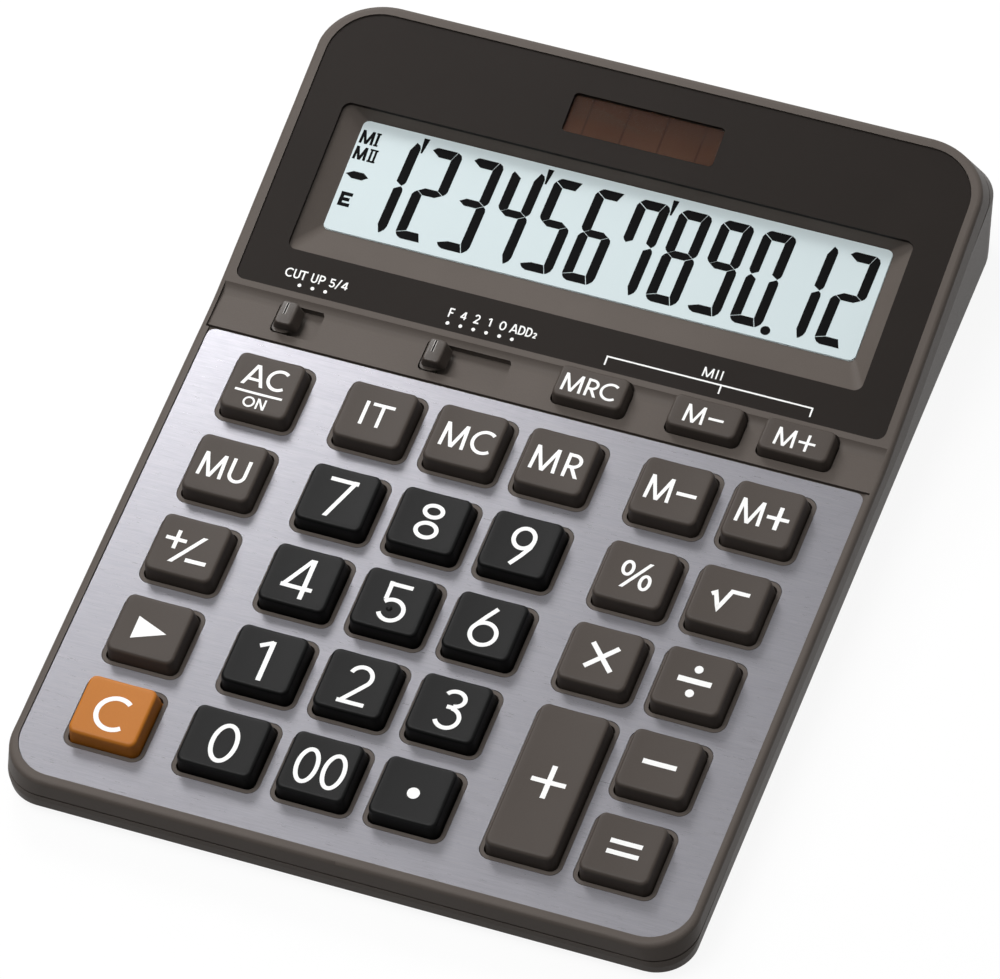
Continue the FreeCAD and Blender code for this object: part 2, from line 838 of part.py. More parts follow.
def make_solar():
    seat = -display_deck_depth + solar_recess
    cover_top = -solar_recess
    cell = prism(solar_wire(0), seat, cover_top - solar_cover_thick)
    cover = prism(solar_wire(-plate_clear), cover_top - solar_cover_thick, cover_top)
    parts["solar_cell"] = on_display(cell)
    parts["solar_window"] = on_display(cover)


def make_battery_bay():
    floor_z = base_z + floor_thick
    cell_x = bay_x + cell_shift
    screw_x = bay_x + cover_screw_shift
    contact_top = floor_z + cover_contact_thick
    cell_top = contact_top + cell_thick
    cover = prism(bay_wire(-bay_rim), base_z, floor_z)
    head_top = base_z + cover_screw_recess
    cover = cover.cut(rod(screw_x, bay_y, base_z - over, head_top, screw_head_radius + screw_clear))
    cover = cover.cut(rod(screw_x, bay_y, base_z, floor_z + over, board_screw_radius + screw_clear))
    head = rod(screw_x, bay_y, base_z, head_top, screw_head_radius)
    shank = rod(screw_x, bay_y, base_z, floor_z + screw_bite, board_screw_radius)
    parts["battery_cover"] = cover
    parts["battery_cover_screw"] = joined(head, shank)
    parts["button_cell"] = rod(cell_x, bay_y, contact_top, cell_top, cell_radius)
    parts["battery_minus_contact"] = rod(cell_x, bay_y, floor_z, contact_top, cover_contact_radius)
    strap_half = cell_radius + cell_clear + bay_rim
    strap = box(cell_x - strap_half, cell_x + strap_half,
                bay_y - contact_width / 2, bay_y + contact_width / 2, bay_top_z, bay_top_z + contact_thick)
    pad = rod(cell_x, bay_y, cell_top + contact_gap, bay_top_z, contact_pad_radius)
    parts["battery_plus_contact"] = joined(strap, pad)


parts["top_case"] = make_top_case()
parts["bottom_case"] = make_bottom_case()
parts["keypad_plate"] = make_plate()
parts["display_panel"] = make_panel()
for key_name, key_hole in key_holes.items():
    parts[key_name] = make_key(grown(key_hole, -collar), key_rise, 0, key_rear_taper)
for key_name, key_hole in strip_holes.items():
    parts[key_name] = make_key(key_hole, strip_key_rise, -strip_drop, strip_key_rear_taper)
for slide_name in selectors:
    parts[slide_name + "_knob"] = make_slide(selectors[slide_name][0])
    parts[slide_name + "_wiper"] = make_wiper(selectors[slide_name][0])
parts["dome_sheet"] = make_dome_sheet()
parts["main_board"] = make_main_board()
make_display_stack()
make_solar()
parts["ribbon_cable"] = make_ribbon()
parts["processor_cover"] = on_keypad(Part.makeCone(chip_radius - chip_taper, chip_radius, chip_thick,
                                                   Vec(0, (row_3 + row_4) / 2, board_bottom - chip_thick)))
capacitor = Part.makeCylinder(capacitor_radius, capacitor_length,
                              Vec(column_5, row_1, board_bottom - capacitor_radius), Vec(1, 0, 0))
parts["capacitor"] = on_keypad(capacitor)
parts["board_screws"] = make_board_screws()
parts["case_screws"] = make_case_screws()
parts["rubber_feet"] = Part.makeCompound([rod(x, y, 0, base_z + foot_recess, foot_radius)
                                          for x, y in foot_places()])
make_battery_bay()

# the middle of the footprint goes to the origin
case_ys = [vertex.Y for name in ("top_case", "bottom_case") for vertex in parts[name].Vertexes]
to_middle = Vec(0, -(min(case_ys) + max(case_ys)) / 2, 0)
for name, shape in parts.items():
    if not shape.isValid():
        print("not valid:", name)
    shape.translate(to_middle)
    shape.exportStep("parts/" + name + ".step")
    print(name, len(shape.Solids), round(shape.Volume, 1))
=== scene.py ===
import math

import bmesh
import bpy
import numpy as np
from mathutils import Matrix


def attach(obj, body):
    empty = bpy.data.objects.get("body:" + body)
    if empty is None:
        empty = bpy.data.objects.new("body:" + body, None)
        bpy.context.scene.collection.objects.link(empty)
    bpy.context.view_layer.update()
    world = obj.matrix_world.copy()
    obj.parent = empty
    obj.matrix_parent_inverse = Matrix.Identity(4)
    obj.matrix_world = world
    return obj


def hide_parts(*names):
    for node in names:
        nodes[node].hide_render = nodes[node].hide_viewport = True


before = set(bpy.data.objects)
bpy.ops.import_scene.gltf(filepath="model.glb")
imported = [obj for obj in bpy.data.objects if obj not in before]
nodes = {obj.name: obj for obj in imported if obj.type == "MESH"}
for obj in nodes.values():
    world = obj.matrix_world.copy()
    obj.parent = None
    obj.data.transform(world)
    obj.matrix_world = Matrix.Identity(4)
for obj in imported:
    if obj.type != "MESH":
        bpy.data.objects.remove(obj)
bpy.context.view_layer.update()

scene = bpy.context.scene
scene.view_settings.view_transform = "Standard"

# Two working planes, both in millimetres: the keypad and the steeper display above it.
# A point (across, up the slope, above the surface) goes to metres in the shared frame.
planes = {
    "keypad": {"origin": (0.0, -104.305, 10.5), "tilt": 3.2},
    "display": {"fromKeypad": (0.0, 133.14, 0.83), "tilt": 11.7},
}


# Place on a plane: origin + across * X + slope * (0, cos, sin) + height * (0, -sin, cos), over 1000.
def onPlane(name, points):
    plane = planes[name]
    origin = np.array(plane["origin"])
    turn = math.radians(plane["tilt"])
    axes = np.array([[1, 0, 0], [0, math.cos(turn), math.sin(turn)], [0, -math.sin(turn), math.cos(turn)]])
    return (origin + np.asarray(points, float) @ axes) / 1000


planes["display"]["origin"] = tuple(onPlane("keypad", planes["display"]["fromKeypad"]) * 1000)


class Wire:
    # one output socket; + and * on it add Math nodes to the same tree
    def __init__(self, sheet, socket):
        self.sheet = sheet
        self.socket = socket

    # Math node that takes first and second in that order
    def combine(self, operation, first, second):
        return self.sheet.add("ShaderNodeMath", {"operation": operation}, {0: first, 1: second})

    def __add__(self, other):
        return self.combine("ADD", self, other)

    def __radd__(self, other):
        return self.combine("ADD", other, self)

    def __mul__(self, other):
        return self.combine("MULTIPLY", self, other)

    def __rmul__(self, other):
        return self.combine("MULTIPLY", other, self)


class Finish:
    # one material (or the world) and the nodes in it
    def __init__(self, holder):
        holder.use_nodes = True
        self.holder = holder
        self.tree = holder.node_tree
        self.tree.nodes.clear()

    # type of node, its settings, then values or links of its sockets; out is the socket handed on
    def add(self, kind, settings=None, sockets=None, out=0):
        node = self.tree.nodes.new(kind)
        for key, value in (settings or {}).items():
            setattr(node, key, value)
        for key, value in (sockets or {}).items():
            if isinstance(value, Wire):
                self.tree.links.new(value.socket, node.inputs[key])
            else:
                node.inputs[key].default_value = value
        return Wire(self, node.outputs[out]) if len(node.outputs) else None

    # fractal noise from 0 to 1 at a place times scale
    def noise(self, where, scale, detail=2.0, rough=0.5):
        return self.add("ShaderNodeTexNoise", {}, {"Vector": where, "Scale": scale, "Detail": detail,
                                                   "Roughness": rough}, out="Fac")

    # place on the object in metres, times a stretch along each axis
    def place(self, stretch=(1, 1, 1)):
        spot = self.add("ShaderNodeTexCoord", {}, {}, out="Object")
        return self.add("ShaderNodeMapping", {}, {"Vector": spot, "Scale": stretch})

    # first * (1 - share) + second * share, for two colours
    def blend(self, share, first, second):
        return self.add("ShaderNodeMix", {"data_type": "RGBA"}, {"Factor": share, 6: first, 7: second}, out=2)

    # straight line that takes low to toLow and high to toHigh, held at both ends
    def spread(self, value, low, high, toLow, toHigh):
        return self.add("ShaderNodeMapRange", {}, {"Value": value, "From Min": low, "From Max": high,
                                                   "To Min": toLow, "To Max": toHigh})

    # normal tipped by the slope of height * distance, in the given strength
    def bump(self, height, strength, distance):
        return self.add("ShaderNodeBump", {}, {"Height": height, "Strength": strength, "Distance": distance})

    # principled surface with these sockets, led to the output
    def surface(self, sockets):
        body = self.add("ShaderNodeBsdfPrincipled", {}, sockets)
        self.add("ShaderNodeOutputMaterial", {}, {"Surface": body})
        return self.holder


# sRGB 0-255 to the linear colour that a socket takes: ((c + .055) / 1.055) ** 2.4 above the toe
def paint(red, green, blue):
    share = np.array([red, green, blue]) / 255
    linear = np.where(share > 0.04045, ((share + 0.055) / 1.055) ** 2.4, share / 12.92)
    return (*(float(c) for c in linear), 1.0)


# Middle part of a noise, where most of its values lie
noiseRange = (0.3, 0.7)


# Moulded plastic: two paints mixed by slow * cloudShare + fine * (1 - cloudShare), and the fine
# spark-eroded grain again in gloss and bump
def mouldedPlastic(name, paints, rough, grain, depth, specular=0.5):
    look = {"cloud": 38.0, "cloudShare": 0.7, "fineRange": (0.25, 0.75), "glossier": 0.05, "duller": 0.06,
            "bump": 0.6}
    finish = Finish(bpy.data.materials.new(name))
    spot = finish.place()
    slow = finish.noise(spot, look["cloud"], detail=3.0)
    fine = finish.noise(spot, grain, rough=0.6)
    mixed = slow * look["cloudShare"] + fine * (1 - look["cloudShare"])
    shade = finish.spread(mixed, *noiseRange, 0, 1)
    return finish.surface({
        "Base Color": finish.blend(shade, paint(*paints[0]), paint(*paints[1])),
        "Roughness": finish.spread(fine, *look["fineRange"], rough - look["glossier"],
                                   rough + look["duller"]),
        "Specular IOR Level": specular,
        "Normal": finish.bump(fine, look["bump"], depth),
    })


# Brushed sheet: noise drawn out along X gives hairlines in colour, gloss and bump, and wider bands
# in colour: hair * hairShare + band * (1 - hairShare)
def brushedSheet(name, paints, rough, lineLength, lineWidth, depth):
    look = {"bandLength": 0.35, "bandWidth": 0.2, "hairShare": 0.72, "shadeRange": (0.32, 0.68),
            "gloss": 0.06, "metal": 0.75, "bump": 0.15}
    finish = Finish(bpy.data.materials.new(name))
    across = lineWidth * look["bandWidth"]
    hair = finish.noise(finish.place((lineLength, lineWidth, lineWidth)), 1.0, detail=3.0, rough=0.65)
    band = finish.noise(finish.place((lineLength * look["bandLength"], across, across)), 1.0)
    mixed = hair * look["hairShare"] + band * (1 - look["hairShare"])
    shade = finish.spread(mixed, *look["shadeRange"], 0, 1)
    return finish.surface({
        "Base Color": finish.blend(shade, paint(*paints[0]), paint(*paints[1])),
        "Metallic": look["metal"],
        "Roughness": finish.spread(hair, *noiseRange, rough + look["gloss"], rough - look["gloss"]),
        "Normal": finish.bump(hair, look["bump"], depth),
    })


# Bare metal: faint turning or rolling marks, a noise three times finer along Y
def bareMetal(name, paints, rough, scale):
    look = {"stretch": (1, 3, 1), "gloss": 0.08, "bump": 0.2, "depth": 0.00003}
    finish = Finish(bpy.data.materials.new(name))
    marks = finish.noise(finish.place(look["stretch"]), scale, detail=3.0)
    return finish.surface({
        "Base Color": finish.blend(marks, paint(*paints[0]), paint(*paints[1])),
        "Metallic": 1.0,
        "Roughness": finish.spread(marks, *noiseRange, rough - look["gloss"], rough + look["gloss"]),
        "Normal": finish.bump(marks, look["bump"], look["depth"]),
    })


# Printed ink: nearly even, two paints mixed by a fine mottle
def printedInk(name, paints, rough, specular=0.3):
    look = {"mottle": 900.0, "gloss": 0.04, "bump": 0.2, "depth": 0.00001}
    finish = Finish(bpy.data.materials.new(name))
    mottle = finish.noise(finish.place(), look["mottle"])
    return finish.surface({
        "Base Color": finish.blend(mottle, paint(*paints[0]), paint(*paints[1])),
        "Roughness": finish.spread(mottle, *noiseRange, rough - look["gloss"], rough + look["gloss"]),
        "Specular IOR Level": specular,
        "Normal": finish.bump(mottle, look["bump"], look["depth"]),
    })


# Display background: two pale paints mixed by cloud * cloudShare + scatter * (1 - cloudShare)
def reflectiveFilm(name, paints, rough):
    look = {"cloud": 22.0, "scatter": 5200.0, "cloudShare": 0.8, "gloss": 0.04, "specular": 0.35, "bump": 0.1,
            "depth": 0.000005}
    finish = Finish(bpy.data.materials.new(name))
    spot = finish.place()
    cloud = finish.noise(spot, look["cloud"])
    scatter = finish.noise(spot, look["scatter"], detail=1.0)
    mixed = cloud * look["cloudShare"] + scatter * (1 - look["cloudShare"])
    return finish.surface({
        "Base Color": finish.blend(mixed, paint(*paints[0]), paint(*paints[1])),
        "Roughness": finish.spread(scatter, *noiseRange, rough - look["gloss"], rough + look["gloss"]),
        "Specular IOR Level": look["specular"],
        "Normal": finish.bump(scatter, look["bump"], look["depth"]),
    })


# Amorphous cell: red-brown strips side by side, split by thin dark lines where a sine wave along X
# comes near its crest; the wave's scale is a tenth of pi over the pitch
def cellStrips(name, paints, linePaint, pitch):
    look = {"waveScale": 0.314, "crest": (0.985, 0.999), "cloud": 60.0, "gloss": (0.3, 0.42), "specular": 0.1}
    finish = Finish(bpy.data.materials.new(name))
    spot = finish.place()
    wave = finish.add("ShaderNodeTexWave", {"wave_type": "BANDS", "bands_direction": "X"},
                      {"Vector": spot, "Scale": look["waveScale"] / pitch, "Distortion": 0.0}, out="Fac")
    split = finish.spread(wave, *look["crest"], 0, 1)
    cloud = finish.noise(spot, look["cloud"], detail=3.0)
    strips = finish.blend(cloud, paint(*paints[0]), paint(*paints[1]))
    return finish.surface({
        "Base Color": finish.blend(split, strips, paint(*linePaint)),
        "Roughness": finish.spread(cloud, *noiseRange, *look["gloss"]),
        "Specular IOR Level": look["specular"],
    })


# Clear moulded cover: refracts, with the faintest ripple in tint and gloss
def clearCover(name, paints, rough):
    look = {"ripple": 70.0, "duller": 0.03, "index": 1.3}
    finish = Finish(bpy.data.materials.new(name))
    ripple = finish.noise(finish.place(), look["ripple"], detail=1.0)
    return finish.surface({
        "Base Color": finish.blend(ripple, paint(*paints[0]), paint(*paints[1])),
        "Roughness": finish.spread(ripple, *noiseRange, rough, rough + look["duller"]),
        "IOR": look["index"],
        "Transmission Weight": 1.0,
    })


# Circuit board: green lacquer, a shade lighter and a touch higher along the lines of a brick pattern
def lacqueredBoard(name, paints):
    look = {"offset": 0.5, "tracks": 190.0, "trackWidth": 0.06, "gloss": (0.35, 0.45), "bump": 0.3,
            "depth": 0.00005}
    finish = Finish(bpy.data.materials.new(name))
    track = finish.add("ShaderNodeTexBrick", {"offset": look["offset"]},
                       {"Vector": finish.place(), "Scale": look["tracks"],
                        "Mortar Size": look["trackWidth"]}, out="Fac")
    return finish.surface({
        "Base Color": finish.blend(track, paint(*paints[0]), paint(*paints[1])),
        "Roughness": finish.spread(track, 0, 1, *look["gloss"]),
        "Normal": finish.bump(track, look["bump"], look["depth"]),
    })


# Kind of finish, its two paints (sRGB, 0-255) and what else that kind takes, by slot
finishSettings = {
    "case_plastic": (mouldedPlastic, ((86, 79, 74), (92, 85, 80)),
                     {"rough": 0.46, "grain": 2600.0, "depth": 0.00003, "specular": 0.1}),
    "plate_metal": (brushedSheet, ((129, 128, 134), (143, 142, 147)),
                    {"rough": 0.33, "lineLength": 200.0, "lineWidth": 6500.0, "depth": 0.000012}),
    "panel_dark": (mouldedPlastic, ((26, 20, 16), (30, 24, 20)),
                   {"rough": 0.5, "grain": 3200.0, "depth": 0.00001, "specular": 0.1}),
    "lcd": (reflectiveFilm, ((189, 202, 204), (196, 208, 210)), {"rough": 0.42}),
    "lcd_film": (reflectiveFilm, ((191, 204, 207), (198, 211, 213)), {"rough": 0.4}),
    "inner_plastic": (mouldedPlastic, ((196, 194, 188), (208, 206, 200)),
                      {"rough": 0.5, "grain": 1800.0, "depth": 0.00002}),
    "silicone": (mouldedPlastic, ((150, 152, 154), (168, 170, 172)),
                 {"rough": 0.55, "grain": 900.0, "depth": 0.00002}),
    "board": (lacqueredBoard, ((24, 92, 52), (34, 112, 64)), {}),
    "epoxy": (mouldedPlastic, ((18, 18, 19), (26, 26, 27)),
              {"rough": 0.25, "grain": 500.0, "depth": 0.00005}),
    "cable": (mouldedPlastic, ((186, 188, 190), (205, 206, 208)),
              {"rough": 0.5, "grain": 1200.0, "depth": 0.00002}),
    "solar": (cellStrips, ((94, 60, 42), (106, 70, 50)), {"linePaint": (84, 54, 38), "pitch": 0.0088}),
    "clear_cover": (clearCover, ((236, 232, 228), (250, 250, 250)), {"rough": 0.06}),
    "knob_plastic": (mouldedPlastic, ((66, 59, 54), (72, 65, 60)),
                     {"rough": 0.42, "grain": 2600.0, "depth": 0.00002, "specular": 0.35}),
    "contact_metal": (bareMetal, ((196, 190, 176), (214, 208, 196)), {"rough": 0.3, "scale": 900.0}),
    "screw_metal": (bareMetal, ((120, 120, 124), (152, 152, 156)), {"rough": 0.35, "scale": 1600.0}),
    "feet_rubber": (mouldedPlastic, ((30, 30, 31), (40, 40, 41)),
                    {"rough": 0.8, "grain": 1500.0, "depth": 0.00004}),
    "key_black": (mouldedPlastic, ((9, 9, 9), (13, 13, 13)),
                  {"rough": 0.46, "grain": 2400.0, "depth": 0.000012, "specular": 0.18}),
    "key_grey": (mouldedPlastic, ((68, 61, 56), (73, 66, 61)),
                 {"rough": 0.46, "grain": 2400.0, "depth": 0.000015, "specular": 0.18}),
    "key_orange": (mouldedPlastic, ((174, 103, 27), (182, 111, 35)),
                   {"rough": 0.46, "grain": 2400.0, "depth": 0.000015, "specular": 0.25}),
}
finishes = {name: make(name, paints, **rest) for name, (make, paints, rest) in finishSettings.items()}
legendInk = printedInk("legend_ink", ((236, 236, 234), (246, 246, 245)), rough=0.45)
segmentInk = printedInk("segment_ink", ((4, 4, 5), (8, 8, 9)), rough=0.6, specular=0.05)
# Pale ink for the painted highlights along the edges of the knob's painted groove
grooveHighlightInk = printedInk("groove_highlight_ink", ((150, 146, 142), (164, 160, 156)), rough=0.5)

for node in nodes.values():
    for holder in node.material_slots:
        slotName = holder.material.name.split(".")[0]
        if slotName in finishes:
            holder.material = finishes[slotName]
        else:
            print("no finish for slot", slotName, "on", node.name)
print("finishes:", len(finishes))


# Finished mesh from points in metres and faces; normals turned outwards, smooth except at edges.
def addPiece(name, points, faces, material, body, replaced=None, sharp=35.0):
    mesh = bpy.data.meshes.new(name)
    mesh.from_pydata(np.asarray(points).reshape(-1, 3).tolist(), [], faces)
    work = bmesh.new()
    work.from_mesh(mesh)
    bmesh.ops.recalc_face_normals(work, faces=work.faces)
    work.to_mesh(mesh)
    work.free()
    mesh.shade_smooth()
    mesh.set_sharp_from_angle(angle=math.radians(sharp))
    mesh.materials.append(material)
    piece = bpy.data.objects.new(name, mesh)
    scene.collection.objects.link(piece)
    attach(piece, body)
    if replaced:
        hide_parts(replaced)


# Quads of a grid of rows x columns of points, numbered from start. Each row is a ring, and a closed
# grid also joins its last row to its first.
def gridFaces(rows, columns, closed, start=0):
    row, column = np.meshgrid(np.arange(rows if closed else rows - 1), np.arange(columns), indexing="ij")
    nextRow, nextColumn = (row + 1) % rows, (column + 1) % columns
    quads = np.stack([row * columns + column, row * columns + nextColumn,
                      nextRow * columns + nextColumn, nextRow * columns + column], -1)
    return (quads.reshape(-1, 4) + start).tolist()


# Closed shell: the quads between the rings, and a face over the first and over the last ring.
def shellFaces(rows, columns, start=0):
    last = start + (rows - 1) * columns
    ends = [list(range(start, start + columns)), list(range(last, last + columns))]
    return gridFaces(rows, columns, False, start) + ends


# Rounded rectangle: each corner is a quarter circle, the straight runs are split evenly.
# sides holds left, right, front, rear for every level, so the result is levels x points x 2.
def roundedOutline(sides, radius, cornerSteps, sideSteps):
    left, right, front, rear = (np.asarray(s, float)[:, None] for s in sides)
    radius = np.asarray(radius, float)[:, None]
    quarter = np.linspace(0, math.pi / 2, cornerSteps + 1)
    runs = []
    for turn, cx, cy in ((0, right - radius, rear - radius), (1, left + radius, rear - radius),
                         (2, left + radius, front + radius), (3, right - radius, front + radius)):
        angle = quarter + turn * math.pi / 2
        runs.append(np.stack([cx + radius * np.cos(angle), cy + radius * np.sin(angle)], -1))
    parts = []
    share = np.linspace(0, 1, sideSteps + 1)[1:-1, None]
    for run, following in zip(runs, runs[1:] + runs[:1]):
        parts.append(run)
        parts.append(run[:, -1:] + (following[:, :1] - run[:, -1:]) * share)
    return np.concatenate(parts, 1)


keySettings = {
    "columns": (-57.415, -31.235, -10.305, 10.625, 36.805, 57.735),
    "rows": (105.9, 83.2, 61.3, 39.4, 17.5),
    "half": (7.975, 7.9),           # half width and half depth where the cap leaves the plate
    "base": 0.0,                    # height of that place
    "zeroExtra": 0.75,              # the 0 key is wider by twice this, to the left
    "plusExtra": 10.95,             # the plus key is deeper by twice this
    "flange": (-2.95, -2.15, 0.7),  # bottom, top and overhang of the flange under the plate
    "taper": (0.24, 0.1, 0.85),     # how much sides, front and rear draw in
    "rise": (4.25, 4.58),           # height of the top at its front and rear edges
    "dish": 0.22,                   # hollow across the top
    "corner": 1.8,
    "topCorner": 1.75,
    "round": 0.8,                   # radius of the top edge
    "roundSteps": 7,
    "rings": 9,
    "sideSteps": 8,
    "plusSteps": 14,                # steps along the sides of the deeper plus key
}
stripKeySettings = {
    "columns": {"key_mrc": 10.625, "key_m2_minus": 36.805, "key_m2_plus": 57.735},
    "row": 127.1, "half": (8.3, 4.4), "base": -0.3, "flange": (-2.95, -2.15, 0.7),
    "taper": (0.4, 0.1, 0.4), "rise": (3.0, 3.18), "dish": 0.12,
    "corner": 1.8, "topCorner": 1.5, "round": 0.7, "roundSteps": 7, "rings": 7, "sideSteps": 8,
}
capSettings = {
    "wall": (0.35, 0.7, 1.0),       # shares of the wall's height with a ring
    "middle": 0.04,                 # size of the rings round the middle, over the whole
    "cornerSteps": 6,
    "cornerInset": 0.75,            # how much of the edge's inset a corner loses
    "leastCorner": 0.5,
}
keyGrid = (
    ("key_ac", "key_it", "key_mc", "key_mr", "key_m_minus", "key_m_plus"),
    ("key_mu", "key_7", "key_8", "key_9", "key_percent", "key_root"),
    ("key_sign", "key_4", "key_5", "key_6", "key_times", "key_divide"),
    ("key_shift", "key_1", "key_2", "key_3", "key_plus", "key_minus"),
    ("key_c", "key_0", "key_00", "key_point", None, "key_equals"),
)
blackKeys = {"key_" + k for k in ("0", "00", "1", "2", "3", "4", "5", "6", "7", "8", "9", "point")}


# Top of a key: a ramp from the front edge to the rear edge, less a hollow that is a parabola
# across the width: height = front + (rear - front) * along - dish * (1 - across ** 2).
def keyTop(key, x, y):
    s = key["settings"]
    along = (y - (key["y"] - key["halfY"])) / (2 * key["halfY"])
    across = np.clip((x - key["x"]) / key["halfX"], -1, 1)
    return s["rise"][0] + (s["rise"][1] - s["rise"][0]) * along - s["dish"] * (1 - across ** 2)


# Cap: rings from the middle of the underside out over the flange, up the drawn-in wall, round the
# top edge by a quarter circle and in again over the hollow top to its middle. Each ring is a
# rounded rectangle, and its height = (top - drop) * draw + base * (1 - draw).
def keyCap(key):
    s = key["settings"]
    base = key["base"]
    bottom, top, lip = s["flange"]
    sideIn, frontIn, rearIn = s["taper"]
    under = np.array([bottom, bottom, top, top, base])
    flat = 0 * under
    wall = np.array(capSettings["wall"])
    edge = np.linspace(0, math.pi / 2, s["roundSteps"])[1:]
    inward = np.linspace(1, capSettings["middle"], s["rings"])[1:]
    # one value per ring: growth at the flange, share of the taper, inset and drop at the round edge,
    # and what is left on the way to the middle
    grow = np.concatenate([(lip, lip, lip, 0, 0), 0 * wall, 0 * edge, 0 * inward])
    draw = np.concatenate([flat, wall, 1 + 0 * edge, 1 + 0 * inward])
    inset = np.concatenate([flat, 0 * wall, s["round"] * (1 - np.cos(edge)), s["round"] + 0 * inward])
    drop = np.concatenate([flat, s["round"] + 0 * wall, s["round"] * (1 - np.sin(edge)), 0 * inward])
    shrink = np.concatenate([(capSettings["middle"], 1, 1, 1, 1), 1 + 0 * wall, 1 + 0 * edge, inward])
    sides = [-key["halfX"] - grow + draw * sideIn + inset, key["halfX"] + grow - draw * sideIn - inset,
             -key["halfY"] - grow + draw * frontIn + inset, key["halfY"] + grow - draw * rearIn - inset]
    middle = ((sides[2] + sides[3]) / 2) * (1 - shrink)
    sides = [sides[0] * shrink, sides[1] * shrink, sides[2] * shrink + middle, sides[3] * shrink + middle]
    radius = s["corner"] + (s["topCorner"] - s["corner"]) * draw
    radius = radius + grow - inset * capSettings["cornerInset"]
    radius = np.maximum(radius, capSettings["leastCorner"]) * shrink
    plan = roundedOutline(sides, radius, capSettings["cornerSteps"], key["sideSteps"])
    x, y = plan[..., 0] + key["x"], plan[..., 1] + key["y"]
    draw = draw[:, None]
    height = (keyTop(key, x, y) - drop[:, None]) * draw + base * (1 - draw)
    height[:len(under)] = under[:, None]
    points = np.stack([x, y, height], -1)
    return onPlane("keypad", points), shellFaces(*points.shape[:2])


# Key at a place, with half sizes, base and steps from its settings
def keyAt(settings, x, y):
    halfX, halfY = settings["half"]
    return {"settings": settings, "x": x, "y": y, "halfX": halfX, "halfY": halfY, "base": settings["base"],
            "sideSteps": settings["sideSteps"]}


keys = {}
for rowNames, rowY in zip(keyGrid, keySettings["rows"]):
    for name, columnX in zip(rowNames, keySettings["columns"]):
        if name:
            keys[name] = keyAt(keySettings, columnX, rowY)
for name, columnX in stripKeySettings["columns"].items():
    keys[name] = keyAt(stripKeySettings, columnX, stripKeySettings["row"])
keys["key_0"]["x"] -= keySettings["zeroExtra"]
keys["key_0"]["halfX"] += keySettings["zeroExtra"]
keys["key_plus"]["y"] -= keySettings["plusExtra"]
keys["key_plus"]["halfY"] += keySettings["plusExtra"]
keys["key_plus"]["sideSteps"] = keySettings["plusSteps"]
for name, key in keys.items():
    slotName = "key_black" if name in blackKeys else "key_orange" if name == "key_c" else "key_grey"
    points, faces = keyCap(key)
    addPiece("cap_" + name.removeprefix("key_"), points, faces, finishes[slotName], name, name)
print("keys:", len(keys))

arcStep = 9


# Points of an elliptical arc: centre + (rx cos a, ry sin a), where a goes up by about arcStep degrees.
def arc(cx, cy, rx, ry, fromAngle, toAngle):
    count = max(4, int(abs(toAngle - fromAngle) / arcStep) + 1)
    angle = np.radians(np.linspace(fromAngle, toAngle, count))
    return np.stack([cx + rx * np.cos(angle), cy + ry * np.sin(angle)], -1)


# Stroke through the given points
def line(width, *points):
    return {"width": width, "points": np.array(points, float)}


# Stroke through points and runs of points, one after another
def curve(width, *runs):
    return {"width": width, "points": np.concatenate([np.atleast_2d(np.array(r, float)) for r in runs])}


# Closed stroke round an ellipse
def loop(width, cx, cy, rx, ry):
    return {"width": width, "points": arc(cx, cy, rx, ry, 0, 360)[:-1], "closed": True}


# Straight stroke whose ends are cut level instead of square
def slant(width, start, end):
    return {"width": width, "points": np.array([start, end], float), "level": True}


# Solid disc
def dot(cx, cy, radius):
    return {"filled": arc(cx, cy, radius, radius, 0, 360)[:-1]}


# Solid shape inside the given points
def filled(*points):
    return {"filled": np.array(points, float)}


# Shapes of the capitals. Widths of strokes and feet are over the stroke, the rest over the letter's
# own width or height, and angles are in degrees.
letterShapes = {
    "M": {"foot": 0.52, "lean": 0.05},
    "C": {"bowl": 1.643, "mouth": 50},
    "P": {"waist": 0.44, "round": 1.1, "widest": 0.5, "short": 0.04, "bow": 80},
    "R": {"stroke": 1.02, "start": 0.42, "foot": 0.58},
    "U": {"bow": (189, 351)},
    "A": {"foot": 0.56, "apex": 0.1, "bar": 0.3, "barStroke": 0.9},
    "N": {"foot": 0.6},
    "F": {"short": 0.12},
    "D": {"round": 0.62, "bow": 80},
    "E": {"short": 0.15},
}


# Each capital stands inside left, right, bottom and top, and w is its stroke.
# M: four level-cut strokes, whose outer legs lean in by lean * height.
def letterM(l, r, b, t, w):
    shape = letterShapes["M"]
    h, lean, mid = w * shape["foot"], shape["lean"] * (t - b), (l + r) / 2
    return [slant(w, (l + h, b), (l + h + lean, t)), slant(w, (l + h + lean, t), (mid, b)),
            slant(w, (mid, b), (r - h - lean, t)), slant(w, (r - h - lean, t), (r - h, b))]


# C: an ellipse that is open by twice the mouth, as wide as bowl radii.
def letterC(l, r, b, t, w):
    shape = letterShapes["C"]
    rx, ry = (r - l) / shape["bowl"] - w / 2, (t - b - w) / 2
    return [curve(w, arc(l + w / 2 + rx, (b + t) / 2, rx, ry, shape["mouth"], 360 - shape["mouth"]))]


# P: a stem, and a half ellipse between the top and the waist.
def letterP(l, r, b, t, w):
    shape = letterShapes["P"]
    h, waist = w / 2, b + shape["waist"] * (t - b)
    ry = (t - h - waist) / 2
    rx = min(ry * shape["round"], (r - l) * shape["widest"])
    bow = r - h - shape["short"] * (r - l) - rx
    return [line(w, (l + h, b), (l + h, t)),
            curve(w, (l + h, t - h), (bow, t - h), arc(bow, waist + ry, rx, ry, shape["bow"], -shape["bow"]),
                  (bow, waist), (l + h, waist))]


# R: a P with a leg from its waist.
def letterR(l, r, b, t, w):
    shape = letterShapes["R"]
    waist = b + letterShapes["P"]["waist"] * (t - b)
    return letterP(l, r, b, t, w) + [slant(w * shape["stroke"], (l + shape["start"] * (r - l), waist),
                                           (r - w * shape["foot"], b))]


